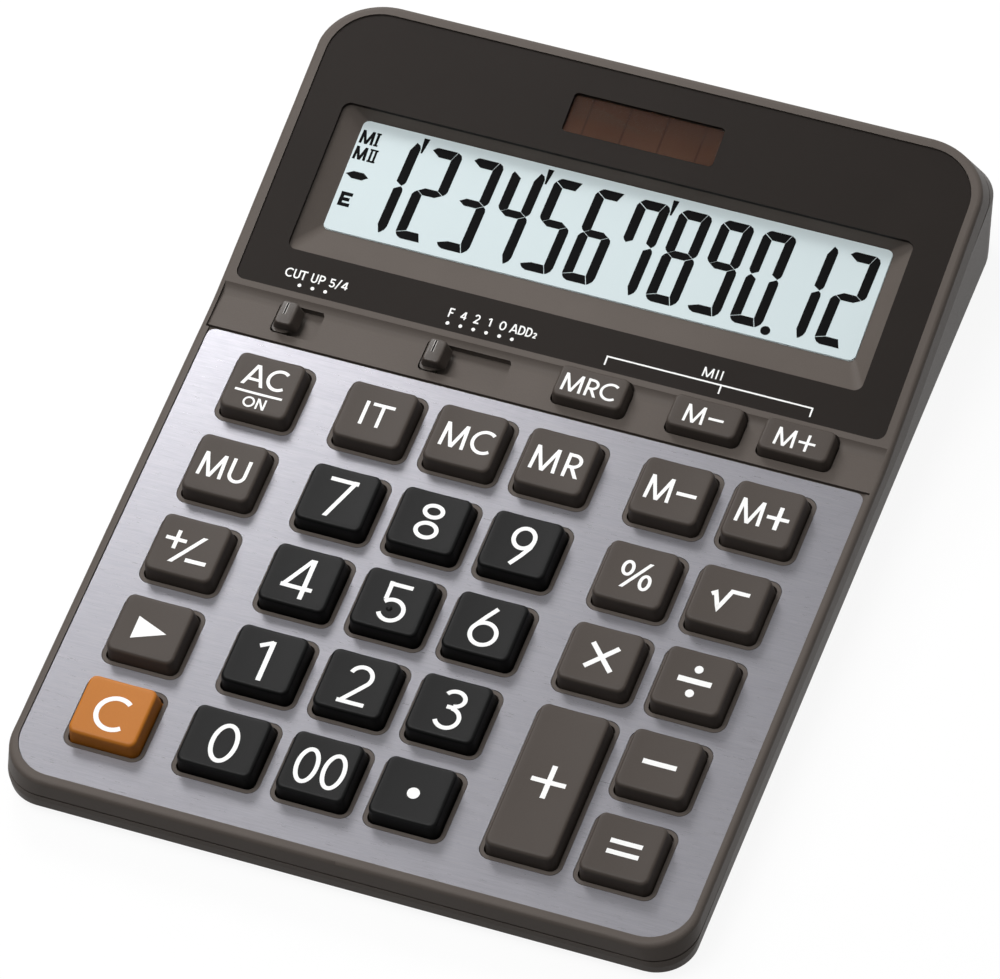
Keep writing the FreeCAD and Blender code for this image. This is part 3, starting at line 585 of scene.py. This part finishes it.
# U: two stems joined by a half circle.
def letterU(l, r, b, t, w):
    h = w / 2
    rx = (r - l - w) / 2
    return [curve(w, (l + h, t), (l + h, b + h + rx),
                  arc(l + h + rx, b + h + rx, rx, rx, *letterShapes["U"]["bow"]),
                  (r - h, b + h + rx), (r - h, t))]


# A: two leaning strokes, and a bar at a share of the height, shorter by that share.
def letterA(l, r, b, t, w):
    shape = letterShapes["A"]
    h, mid, apex = w * shape["foot"], (l + r) / 2, w * shape["apex"]
    bar = b + shape["bar"] * (t - b)
    reach = (r - l) / 2 - h - shape["bar"] * ((r - l) / 2 - h)
    return [slant(w, (l + h, b), (mid - apex, t)), slant(w, (mid + apex, t), (r - h, b)),
            line(w * shape["barStroke"], (mid - reach, bar), (mid + reach, bar))]


# N: two stems and a level-cut stroke from corner to corner.
def letterN(l, r, b, t, w):
    h, foot = w / 2, w * letterShapes["N"]["foot"]
    return [line(w, (l + h, b), (l + h, t)), slant(w, (l + foot, t), (r - foot, b)),
            line(w, (r - h, b), (r - h, t))]


# O: an ellipse.
def letterO(l, r, b, t, w):
    return [loop(w, (l + r) / 2, (b + t) / 2, (r - l - w) / 2, (t - b - w) / 2)]


# T: a bar over a stem in the middle.
def letterT(l, r, b, t, w):
    return [line(w, (l, t - w / 2), (r, t - w / 2)), line(w, ((l + r) / 2, b), ((l + r) / 2, t - w / 2))]


# F: a stem, a bar at the top and a shorter one halfway.
def letterF(l, r, b, t, w):
    short = letterShapes["F"]["short"] * (r - l)
    return [line(w, (l + w / 2, b), (l + w / 2, t)), line(w, (l, t - w / 2), (r, t - w / 2)),
            line(w, (l, (b + t) / 2), (r - short, (b + t) / 2))]


# D: a stem, and a half ellipse from top to bottom.
def letterD(l, r, b, t, w):
    shape = letterShapes["D"]
    h = w / 2
    rx, ry = (r - l - w) * shape["round"], (t - b - w) / 2
    turn = r - h - rx
    return [line(w, (l + h, b), (l + h, t)),
            curve(w, (l + h, t - h), (turn, t - h),
                  arc(turn, (b + t) / 2, rx, ry, shape["bow"], -shape["bow"]), (turn, b + h), (l + h, b + h))]


# E: a stem and three bars, the middle one shorter.
def letterE(l, r, b, t, w):
    short = letterShapes["E"]["short"] * (r - l)
    return [line(w, (l + w / 2, b), (l + w / 2, t)), line(w, (l, t - w / 2), (r, t - w / 2)),
            line(w, (l, (b + t) / 2), (r - short, (b + t) / 2)), line(w, (l, b + w / 2), (r, b + w / 2))]


# Figures as they stand on the keys: widths and places in millimetres from the middle of the key
figures = {
    "7": [line(1.1, (-3.06, 3.72), (3.34, 3.72)), slant(1.1, (2.74, 4.27), (-1.21, -5.78))],
    "8": [loop(1.1, 0.24, 2.02, 2.0, 1.5), loop(1.1, 0.24, -2.93, 2.3, 1.85)],
    "9": [loop(1.1, 0.315, 1.22, 2.3, 2.55),
          curve(1.1, (2.6, 0.7), (2.35, -0.75), (1.1, -3.0), (-0.69, -5.73))],
    "4": [line(1.2, (1.44, 4.42), (1.44, -5.83)), slant(1.1, (1.14, 4.42), (-3.21, -3.05)),
          line(1.1, (-3.81, -3.13), (3.34, -3.13))],
    "5": [line(1.1, (-2.26, 3.77), (3.09, 3.77)), line(1.1, (-1.71, 4.32), (-1.71, -0.28)),
          curve(1.1, arc(0.34, -2.63, 2.7, 2.65, 140, -155))],
    "6": [loop(1.1, 0.315, -2.48, 2.85, 2.8),
          curve(1.1, (1.37, 4.27), (-0.5, 1.6), (-1.9, -0.7), (-2.45, -1.7))],
    "1": [line(1.25, (0.465, 4.17), (0.465, -5.93)), line(1.1, (-2.16, 2.42), (0.5, 3.9))],
    "2": [curve(1.1, arc(0.39, 1.32, 2.42, 2.45, 165, -35), (-1.86, -5.2)),
          line(1.1, (-2.76, -5.38), (3.39, -5.38))],
    "3": [curve(1.1, arc(0.515, 2.02, 2.2, 1.85, 155, -85)), line(1.1, (-0.6, -0.2), (0.8, -0.2)),
          curve(1.1, arc(0.415, -2.88, 2.6, 2.5, 85, -155))],
    "0": [loop(1.15, 0.24, -1.08, 2.62, 4.47)],
}


# Strokes moved and stretched so that their middle lines fill a new box, with a new width
def fitted(strokes, l, r, b, t, w):
    every = np.concatenate([s["points"] for s in strokes])
    low, high = every.min(0), every.max(0)
    newLow, newHigh = np.array([l + w / 2, b + w / 2]), np.array([r - w / 2, t - w / 2])
    return [{**s, "width": w, "points": newLow + (s["points"] - low) / (high - low) * (newHigh - newLow)}
            for s in strokes]


ink, thin = 0.9, 0.69
legends = {
    "key_it": [line(ink, (-2.49, -3.7), (-2.49, 2.5))] + letterT(-1.21, 3.79, -3.7, 2.5, ink),
    "key_mc": letterM(-5.41, 0.49, -3.7, 2.5, ink) + letterC(1.24, 6.34, -3.8, 2.6, ink),
    "key_mr": letterM(-5.59, 0.57, -3.7, 2.5, ink) + letterR(1.92, 5.82, -3.7, 2.5, ink),
    "key_m_minus": letterM(-5.51, 0.39, -3.7, 2.5, ink) + [line(1.0, (1.29, -0.68), (5.79, -0.68))],
    "key_m_plus": letterM(-5.80, 0.11, -3.7, 2.5, ink) + [line(1.0, (0.86, -0.68), (5.86, -0.68)),
                                                         line(1.1, (3.41, 2.32), (3.41, -3.58))],
    "key_mu": letterM(-5.65, 0.21, -3.73, 2.42, ink) + letterU(1.11, 5.51, -3.8, 2.42, ink),
    "key_ac": letterA(-5.05, 0.21, -1.2, 4.35, 0.85) + letterC(0.21, 4.86, -1.3, 4.45, 0.85)
    + [line(0.65, (-5.55, -2.86), (5.41, -2.86))]
    + letterO(-2.80, 0.0, -6.72, -3.9, 0.5) + letterN(0.31, 2.46, -6.68, -3.93, 0.5),
    "key_c": letterC(-3.90, 3.61, -5.78, 3.32, 1.25),
    "key_0": figures["0"],
    "key_00": letterO(-5.36, 0.0, -5.63, 3.62, 1.1) + letterO(0.64, 6.09, -5.63, 3.62, 1.1),
    "key_point": [dot(0.315, -0.83, 1.38)],
    "key_percent": [loop(0.85, -2.01, 0.70, 1.08, 1.65), loop(0.85, 2.59, -2.0, 1.03, 1.7),
                    slant(0.85, (2.64, 2.92), (-2.11, -4.23))],
    "key_root": [line(1.1, (-3.80, -0.23), (-3.0, 0.35), (-1.45, -3.4), (0.31, 1.47), (4.21, 1.47))],
    "key_sign": [line(1.0, (-5.50, 0.82), (-0.75, 0.82)), line(1.0, (-3.02, 3.17), (-3.02, -1.58)),
                 slant(1.0, (2.96, 2.77), (-2.60, -4.93)), line(1.1, (0.51, -3.63), (5.26, -3.63))],
    "key_times": [line(1.25, (-2.65, 2.45), (3.28, -3.72)), line(1.25, (3.28, 2.45), (-2.65, -3.72))],
    "key_divide": [line(1.5, (-3.55, -0.58), (3.96, -0.58)), dot(0.16, 2.47, 0.95), dot(0.16, -3.68, 0.95)],
    "key_shift": [filled((-3.40, 1.82), (-3.40, -3.93), (3.86, -0.98))],
    "key_minus": [line(1.35, (-3.55, -0.60), (3.96, -0.60))],
    "key_plus": [line(1.25, (-3.51, -0.76), (4.19, -0.76)), line(1.3, (0.39, 3.47), (0.39, -4.88))],
    "key_equals": [line(1.25, (-3.30, 0.70), (3.81, 0.70)), line(1.25, (-3.30, -1.96), (3.81, -1.96))],
    "key_mrc": letterM(-6.45, -1.74, -2.7, 1.87, thin) + letterR(-1.09, 1.84, -2.7, 1.87, thin)
    + letterC(2.12, 6.05, -2.75, 1.92, thin),
    "key_m2_minus": letterM(-4.56, 0.08, -2.7, 1.87, thin) + [line(thin, (0.94, -0.6), (4.37, -0.6))],
    "key_m2_plus": letterM(-4.78, -0.13, -2.7, 1.87, thin) + [line(thin, (0.58, -0.6), (4.37, -0.6)),
                                                             line(thin, (2.51, 1.58), (2.51, -2.78))],
}
for figure in "123456789":
    legends["key_" + figure] = figures[figure]

# Millimetres; strokes lie at a few levels in turn, so that tops which cross share no plane
inkSettings = {"proud": 0.035, "sunk": 0.06, "levels": 4, "stagger": 0.004, "step": 0.8, "weight": 0.88,
               "leastBend": 0.35}


# Middle line cut into steps no longer than the given length, by even spacing inside each run
def resampled(points, step, closed):
    ends = np.concatenate([points, points[:1]]) if closed else points
    length = np.linalg.norm(np.diff(ends, axis=0), axis=1)
    counts = np.maximum(1, np.ceil(length / step).astype(int))
    share = np.concatenate([np.arange(c) / c for c in counts])
    run = np.repeat(np.arange(len(counts)), counts)
    made = ends[run] + (ends[run + 1] - ends[run]) * share[:, None]
    return made if closed else np.concatenate([made, ends[-1:]])


# Ribbon: both edges of a stroke, half a width off its middle line, mitred where it bends.
# The offset at a point is the sum of its two unit normals over (1 + their dot product); a stroke
# that is cut level is offset along x alone, by half a width * length / rise.
def ribbonEdges(stroke, step):
    points = resampled(stroke["points"], step, stroke.get("closed", False))
    half = stroke["width"] / 2
    if stroke.get("level"):
        way = points[-1] - points[0]
        side = np.array([half * np.linalg.norm(way) / way[1], 0.0])
        return points + side, points - side
    if stroke.get("closed"):
        before, after = points - np.roll(points, 1, 0), np.roll(points, -1, 0) - points
    else:
        way = np.diff(points, axis=0)
        before, after = np.concatenate([way[:1], way]), np.concatenate([way, way[-1:]])
    normals = [np.stack([-w[:, 1], w[:, 0]], -1) / np.linalg.norm(w, axis=1)[:, None]
               for w in (before, after)]
    bend = 1 + (normals[0] * normals[1]).sum(1)
    offset = (normals[0] + normals[1]) / np.maximum(bend, inkSettings["leastBend"])[:, None] * half
    return points + offset, points - offset


# Closed prisms over a surface: each stroke is a ring of four points carried along its middle line,
# a filled shape is its outline at two heights. rise(x, y) is the surface that carries them.
def inkMesh(strokes, rise, middle=(0.0, 0.0)):
    points, faces = [], []
    start = 0
    low = -inkSettings["sunk"]
    for order, stroke in enumerate(strokes):
        high = inkSettings["proud"] + order % inkSettings["levels"] * inkSettings["stagger"]
        if "filled" in stroke:
            outline = stroke["filled"] + middle
            rims, axis = ((outline, low), (outline, high)), 0
        else:
            left, right = (edge + middle for edge in ribbonEdges(stroke, inkSettings["step"]))
            rims, axis = ((left, low), (left, high), (right, high), (right, low)), 1
        made = np.stack([np.column_stack([rim, rise(*rim.T) + lift]) for rim, lift in rims], axis)
        rows, columns = made.shape[:2]
        closed = stroke.get("closed", False)
        faces += gridFaces(rows, columns, True, start) if closed else shellFaces(rows, columns, start)
        points.append(made.reshape(-1, 3))
        start += rows * columns
    return np.concatenate(points), faces


for name, strokes in legends.items():
    key = keys[name]
    strokes = [{**s, "width": s["width"] * inkSettings["weight"]} if "width" in s else s for s in strokes]
    points, faces = inkMesh(strokes, lambda x, y, k=key: keyTop(k, x, y), (key["x"], key["y"]))
    addPiece("legend_" + name.removeprefix("key_"), onPlane("keypad", points), faces, legendInk, name)

# Finding dot on the 5 key: a low dome, height = full * (1 - share ** 2) from rim to middle
dotSettings = {"key": "key_5", "place": (-0.16, -2.33), "radius": 0.7, "height": 0.34, "rings": 8, "step": 15,
               "middle": 0.05, "skirt": 0.1}
key = keys[dotSettings["key"]]
share, turn = np.meshgrid(np.linspace(1, dotSettings["middle"], dotSettings["rings"]),
                          np.radians(np.arange(0, 360, dotSettings["step"])), indexing="ij")
x = key["x"] + dotSettings["place"][0] + dotSettings["radius"] * share * np.cos(turn)
y = key["y"] + dotSettings["place"][1] + dotSettings["radius"] * share * np.sin(turn)
dome = keyTop(key, x, y) + dotSettings["height"] * (1 - share ** 2)
skirt = np.stack([x[:1], y[:1], dome[:1] - dotSettings["skirt"]], -1)
grid = np.concatenate([skirt, np.stack([x, y, dome], -1)])
addPiece("finding_dot", onPlane("keypad", grid), shellFaces(*grid.shape[:2]), finishes["key_black"],
         dotSettings["key"])
print("legends:", len(legends))

# Print on the panel, from the foot of the display plane: the selectors' stops and the group of three keys
panelInk = {"width": 0.34, "slash": 0.9, "small": 0.85, "bracket": 0.37, "dotRow": 1.85, "dotRadius": 0.42,
            "dots": (-60.5, -57.45, -54.45, -25.8, -22.8, -19.8, -16.8, -13.75, -10.8)}
w, bracket = panelInk["width"], panelInk["bracket"]
cut = {"b": 3.25, "t": 5.5, "w": w}
places = {"b": 3.35, "t": 5.6, "w": w}
panelStrokes = (
    letterC(-64.7, -62.95, **cut) + letterU(-62.7, -61.2, **cut) + letterT(-61.15, -59.6, **cut)
    + letterU(-58.55, -57.1, **cut) + letterP(-56.75, -55.3, **cut)
    + fitted(figures["5"], -54.3, -52.95, **cut) + [slant(w * panelInk["slash"], (-51.8, 5.6), (-52.65, 3.1))]
    + fitted(figures["4"], -51.6, -49.85, **cut)
    + letterF(-26.35, -25.2, **places) + fitted(figures["4"], -23.7, -22.05, **places)
    + fitted(figures["2"], -20.6, -19.05, **places) + fitted(figures["1"], -17.4, -16.45, **places)
    + letterO(-14.55, -13.0, **places) + letterA(-12.1, -10.2, **places) + letterD(-10.1, -8.6, **places)
    + letterD(-8.4, -6.95, **places) + fitted(figures["2"], -6.8, -5.75, 3.35, 4.75, w * panelInk["small"])
    + letterM(32.05, 34.55, 4.6, 6.9, w) + [line(w, (x, 4.6), (x, 6.9)) for x in (35.3, 36.4)]
    + [line(bracket, (10.78, 1.4), (10.78, 3.55), (57.9, 3.55), (57.9, 1.4))]
    + [line(bracket, (37.0, 3.4), (37.0, 1.4))]
    + [dot(x, panelInk["dotRow"], panelInk["dotRadius"]) for x in panelInk["dots"]]
)
points, faces = inkMesh(panelStrokes, lambda x, y: 0 * x)
addPiece("panel_print", onPlane("display", points), faces, legendInk, "case")
print("panel print:", len(panelStrokes), "strokes")

# Seven segments in one digit cell, across and up from its lower left; the cell leans a little
segments = {
    "a": ((0.45, 22.75), (1.2, 23.5), (1.6, 23.63), (6.1, 23.63), (5.2, 21.4), (2.35, 21.4)),
    "b": ((6.25, 23.6), (7.1, 23.1), (7.5, 22.3), (7.5, 13.6), (7.3, 13.0), (6.75, 12.42), (5.3, 13.3),
          (5.3, 21.4)),
    "c": ((6.75, 12.3), (7.3, 11.8), (7.5, 11.1), (7.5, 2.0), (7.2, 1.0), (6.5, 0.25), (6.15, 0.05),
          (5.3, 2.15), (5.3, 11.4)),
    "d": ((0.1, 1.3), (2.3, 2.1), (5.15, 2.1), (6.0, 0), (1.6, 0), (0.8, 0.35), (0.35, 0.8)),
    "e": ((0.9, 12.3), (2.25, 11.4), (2.25, 2.25), (0.05, 1.45), (0, 1.7), (0, 11.2), (0.35, 11.85)),
    "f": ((0.35, 22.6), (0, 21.9), (0, 13.5), (0.3, 12.95), (0.9, 12.42), (2.25, 13.25), (2.25, 21.3)),
    "g": ((1.0, 12.36), (2.4, 13.26), (5.2, 13.26), (6.6, 12.36), (5.1, 11.46), (2.35, 11.46)),
}
litSegments = {"1": "bc", "2": "abged", "3": "abgcd", "4": "fgbc", "5": "afgcd", "6": "afgecd", "7": "abcf",
               "8": "abcdefg", "9": "abcdfg", "0": "abcdef"}
readout = {
    "shown": "123456789012", "first": (-55.16, 20.73), "pitch": 9.753, "lean": 0.037, "pivot": 12.36,
    "level": -3.9, "tick": ((7.8, 25.1), (9.15, 25.1), (8.5, 21.3), (8.1, 21.3)), "ticksAfter": (0, 3, 6),
    "point": (40.89, 20.64, 1.1), "letter": 0.62, "serif": 0.4, "stem": 0.6, "pair": 0.5, "error": 0.85,
}
shapes = []
for index, figure in enumerate(readout["shown"]):
    corner = np.array(readout["first"]) + (readout["pitch"] * index, 0)
    for lit in litSegments[figure]:
        cell = np.array(segments[lit])
        cell[:, 0] += readout["lean"] * (cell[:, 1] - readout["pivot"])
        shapes.append({"filled": cell + corner})
    if index in readout["ticksAfter"]:
        shapes.append({"filled": np.array(readout["tick"]) + corner})
shapes.append(dot(*readout["point"]))
# signs at the left edge: first and second memory, a lozenge and an error letter
letter, serif, stem, pair = (readout[k] for k in ("letter", "serif", "stem", "pair"))
shapes += letterM(-61.38, -58.15, 40.95, 44.32, letter) + [line(stem, (-57.45, 40.95), (-57.45, 44.32))]
shapes += [line(serif, (-57.97, y), (-56.93, y)) for y in (44.12, 41.15)]
shapes += letterM(-61.47, -58.43, 36.82, 40.14, letter)
shapes += [line(pair, (x, 36.82), (x, 40.14)) for x in (-57.6, -56.6)]
shapes += [line(serif, (-58.06, y), (-56.15, y)) for y in (39.94, 37.02)]
shapes.append(filled((-61.38, 32.95), (-59.88, 33.86), (-57.47, 33.86), (-56.15, 32.95), (-57.47, 32.05),
                     (-59.88, 32.05)))
shapes += letterE(-60.7, -57.97, 24.91, 28.45, readout["error"])
points, faces = inkMesh(shapes, lambda x, y: readout["level"] + 0 * x)
addPiece("display_figures", onPlane("display", points), faces, segmentInk, "case")
print("display:", len(shapes), "shapes")

knobSettings = {
    "row": 126.4, "places": {"rounding": -60.9, "decimal": -26.3},
    # levels from below: height, left, right, front and rear reach, corner
    "levels": ((-3.55, -2.3, 2.3, -4.3, 0.3, 0.3), (-2.85, -2.3, 2.3, -4.3, 0.3, 0.3),
               (-2.85, -1.2, 1.2, -3.8, -3.2, 0.2), (-1.7, -1.2, 1.2, -3.8, -3.2, 0.2),
               (-1.7, -1.9, 1.9, -3.8, 3.4, 1.2), (-0.1, -1.9, 1.9, -3.75, 3.4, 1.2),
               (-0.1, -1.8, 4.0, -2.9, 3.0, 1.0), (0.8, -1.55, 3.65, -3.05, 2.94, 1.0),
               (2.3, -1.1, 3.07, -3.29, 2.85, 0.9), (2.75, -0.97, 2.9, -3.27, 2.8, 0.8),
               (2.93, -0.82, 2.72, -3.12, 2.66, 0.7), (3.0, -0.6, 2.5, -2.92, 2.45, 0.6)),
    "cornerSteps": 5, "sideSteps": 4, "sharp": 50.0,
    # The painted groove on the knob's top: middle and ends of its lines, width of the dark line of painted
    # shade, width of each painted highlight line and its distance from the middle
    "mark": {"x": 0.55, "ends": (-0.9, 2.2), "grooveShade": 0.3, "edge": 0.16, "apart": 0.25},
}
# Knob: rings of rounded rectangles through the level table, closed by a face at each end. No groove is cut in
# the top: a dark line of painted shade stands for it, with a painted highlight line on either side.
row, mark = knobSettings["row"], knobSettings["mark"]
height, left, right, front, rear, corner = np.array(knobSettings["levels"]).T
for name, x in knobSettings["places"].items():
    plan = roundedOutline((x + left, x + right, row + front, row + rear), corner,
                          knobSettings["cornerSteps"], knobSettings["sideSteps"])
    grid = np.concatenate([plan, np.broadcast_to(height[:, None, None], plan.shape[:2] + (1,))], -1)
    addPiece(name + "_fin", onPlane("keypad", grid), shellFaces(*grid.shape[:2]), finishes["knob_plastic"],
             name + "_slide", name + "_knob", knobSettings["sharp"])
    grooveShade = [line(mark["grooveShade"], *((mark["x"], y) for y in mark["ends"]))]
    grooveHighlights = [line(mark["edge"], *((mark["x"] + side * mark["apart"], y) for y in mark["ends"]))
             for side in (-1, 1)]
    # The groove's painted shade goes on in the segments' black ink, its painted highlights in the pale ink
    for part, strokes, material in (("grooveShade", grooveShade, segmentInk), ("mark", grooveHighlights, grooveHighlightInk)):
        points, faces = inkMesh(strokes, lambda x, y: height[-1] + 0 * x, (x, row))
        addPiece(name + "_" + part, onPlane("keypad", points), faces, material, name + "_slide")
print("knobs:", len(knobSettings["places"]))

# Floor: a sheet that looks nearly white, white * glow + (1 - white) * paper, and throws the light of
# a greyer sheet back at the part
floorSettings = {"reach": 12.0, "grain": 120.0, "seen": (244, 244, 244), "speck": (250, 250, 250),
                 "bounced": (126, 126, 126), "white": 0.91}
corners = np.array([(-1, -1, 0), (1, -1, 0), (1, 1, 0), (-1, 1, 0)]) * floorSettings["reach"]
mesh = bpy.data.meshes.new("floor")
mesh.from_pydata(corners.tolist(), [], [(0, 1, 2, 3)])
floor = bpy.data.objects.new("floor", mesh)
scene.collection.objects.link(floor)
finish = Finish(bpy.data.materials.new("floor_paper"))
grain = finish.noise(finish.place(), floorSettings["grain"])
rays = {key: finish.add("ShaderNodeLightPath", {}, {}, out=key)
        for key in ("Is Camera Ray", "Is Glossy Ray", "Is Transmission Ray")}
seen = finish.add("ShaderNodeClamp", {}, {"Value": rays["Is Camera Ray"] + rays["Is Glossy Ray"]
                                          + rays["Is Transmission Ray"]})
paper = finish.blend(grain, paint(*floorSettings["seen"]), paint(*floorSettings["speck"]))
paper = finish.blend(seen, paint(*floorSettings["bounced"]), paper)
diffuse = finish.add("ShaderNodeBsdfDiffuse", {}, {"Color": paper})
glow = finish.add("ShaderNodeEmission", {}, {"Color": (1, 1, 1, 1), "Strength": 1.0})
mixed = finish.add("ShaderNodeMixShader", {}, {"Fac": seen * floorSettings["white"], 1: diffuse, 2: glow})
finish.add("ShaderNodeOutputMaterial", {}, {"Surface": mixed})
floor.data.materials.append(finish.holder)

# Room light: grows from low at the horizon to high overhead, with more at the back
worldSettings = {"low": 0.02, "high": 0.36, "upRange": (0.0, 0.85), "back": 0.8, "backRange": (0.5, 0.85)}
world = bpy.data.worlds.new("studio")
scene.world = world
finish = Finish(world)
way = finish.add("ShaderNodeTexCoord", {}, {}, out="Generated")
up = finish.add("ShaderNodeSeparateXYZ", {}, {"Vector": way}, out="Z")
rear = finish.add("ShaderNodeSeparateXYZ", {}, {"Vector": way}, out="Y")
strength = (finish.spread(up, *worldSettings["upRange"], worldSettings["low"], worldSettings["high"])
            + finish.spread(rear, *worldSettings["backRange"], 0, worldSettings["back"]))
sky = finish.add("ShaderNodeBackground", {}, {"Color": (1, 1, 1, 1), "Strength": strength})
finish.add("ShaderNodeOutputWorld", {}, {"Surface": sky})

# Area lamps: place, aim, width and height in metres, and power in watts
lampSettings = {
    "windowLamp": {"place": (-0.30, 0.36, 0.43), "aim": (-0.03, 0.0, 0.012), "size": (0.2, 0.2),
                   "power": 1.75},
    "highLamp": {"place": (-0.55, -0.2, 1.8), "aim": (0.0, 0.0, 0.0), "size": (0.9, 0.9), "power": 22.0},
}


# Axes of an object whose -Z looks at the aim: back = place - aim, right = Z x back, up = back x right
def aimed(place, aim):
    back = np.array(place, float) - np.array(aim, float)
    back /= np.linalg.norm(back)
    right = np.cross((0, 0, 1), back)
    right /= np.linalg.norm(right)
    return right, np.cross(back, right), back


# Matrix whose columns are the three axes and the place
def placeMatrix(right, up, back, place):
    matrix = np.eye(4)
    matrix[:3, 0], matrix[:3, 1], matrix[:3, 2], matrix[:3, 3] = right, up, back, place
    return Matrix(matrix.tolist())


for name, settings in lampSettings.items():
    lamp = bpy.data.lights.new(name, "AREA")
    lamp.shape = "RECTANGLE"
    lamp.size, lamp.size_y = settings["size"]
    lamp.energy = settings["power"]
    holder = bpy.data.objects.new(name, lamp)
    scene.collection.objects.link(holder)
    holder.matrix_world = placeMatrix(*aimed(settings["place"], settings["aim"]), settings["place"])
print("stage: floor, room light,", len(lampSettings), "lamps")

# Camera: long lens that looks along (-sin turn cos lift, cos turn cos lift, -sin lift), rolled a
# little; angles in degrees, lengths in millimetres, shifts along its own axes
cameraSettings = {"turn": 24.68, "lift": 51.93, "roll": -5.36, "lens": 313.49, "away": 1875.91,
                  "target": (-0.2, -1.905, 15.9), "across": 1.41, "up": 3.83, "sensor": 36.0,
                  "clip": (50.0, 60000.0)}
turn, lift, roll = (math.radians(cameraSettings[k]) for k in ("turn", "lift", "roll"))
look = np.array([-math.sin(turn) * math.cos(lift), math.cos(turn) * math.cos(lift), -math.sin(lift)])
level = np.cross(look, (0, 0, 1))
level /= np.linalg.norm(level)
across = level * math.cos(roll) + np.cross(level, look) * math.sin(roll)
upward = np.cross(across, look)
eye = (np.array(cameraSettings["target"]) - cameraSettings["across"] * across - cameraSettings["up"] * upward
       - cameraSettings["away"] * look) / 1000
lens = bpy.data.cameras.new("camera")
lens.lens = cameraSettings["lens"]
lens.sensor_width = cameraSettings["sensor"]
lens.clip_start, lens.clip_end = (far / 1000 for far in cameraSettings["clip"])
camera = bpy.data.objects.new("camera", lens)
scene.collection.objects.link(camera)
camera.matrix_world = placeMatrix(across, upward, -look, eye)
scene.camera = camera
print("camera:", cameraSettings["lens"], "mm lens")
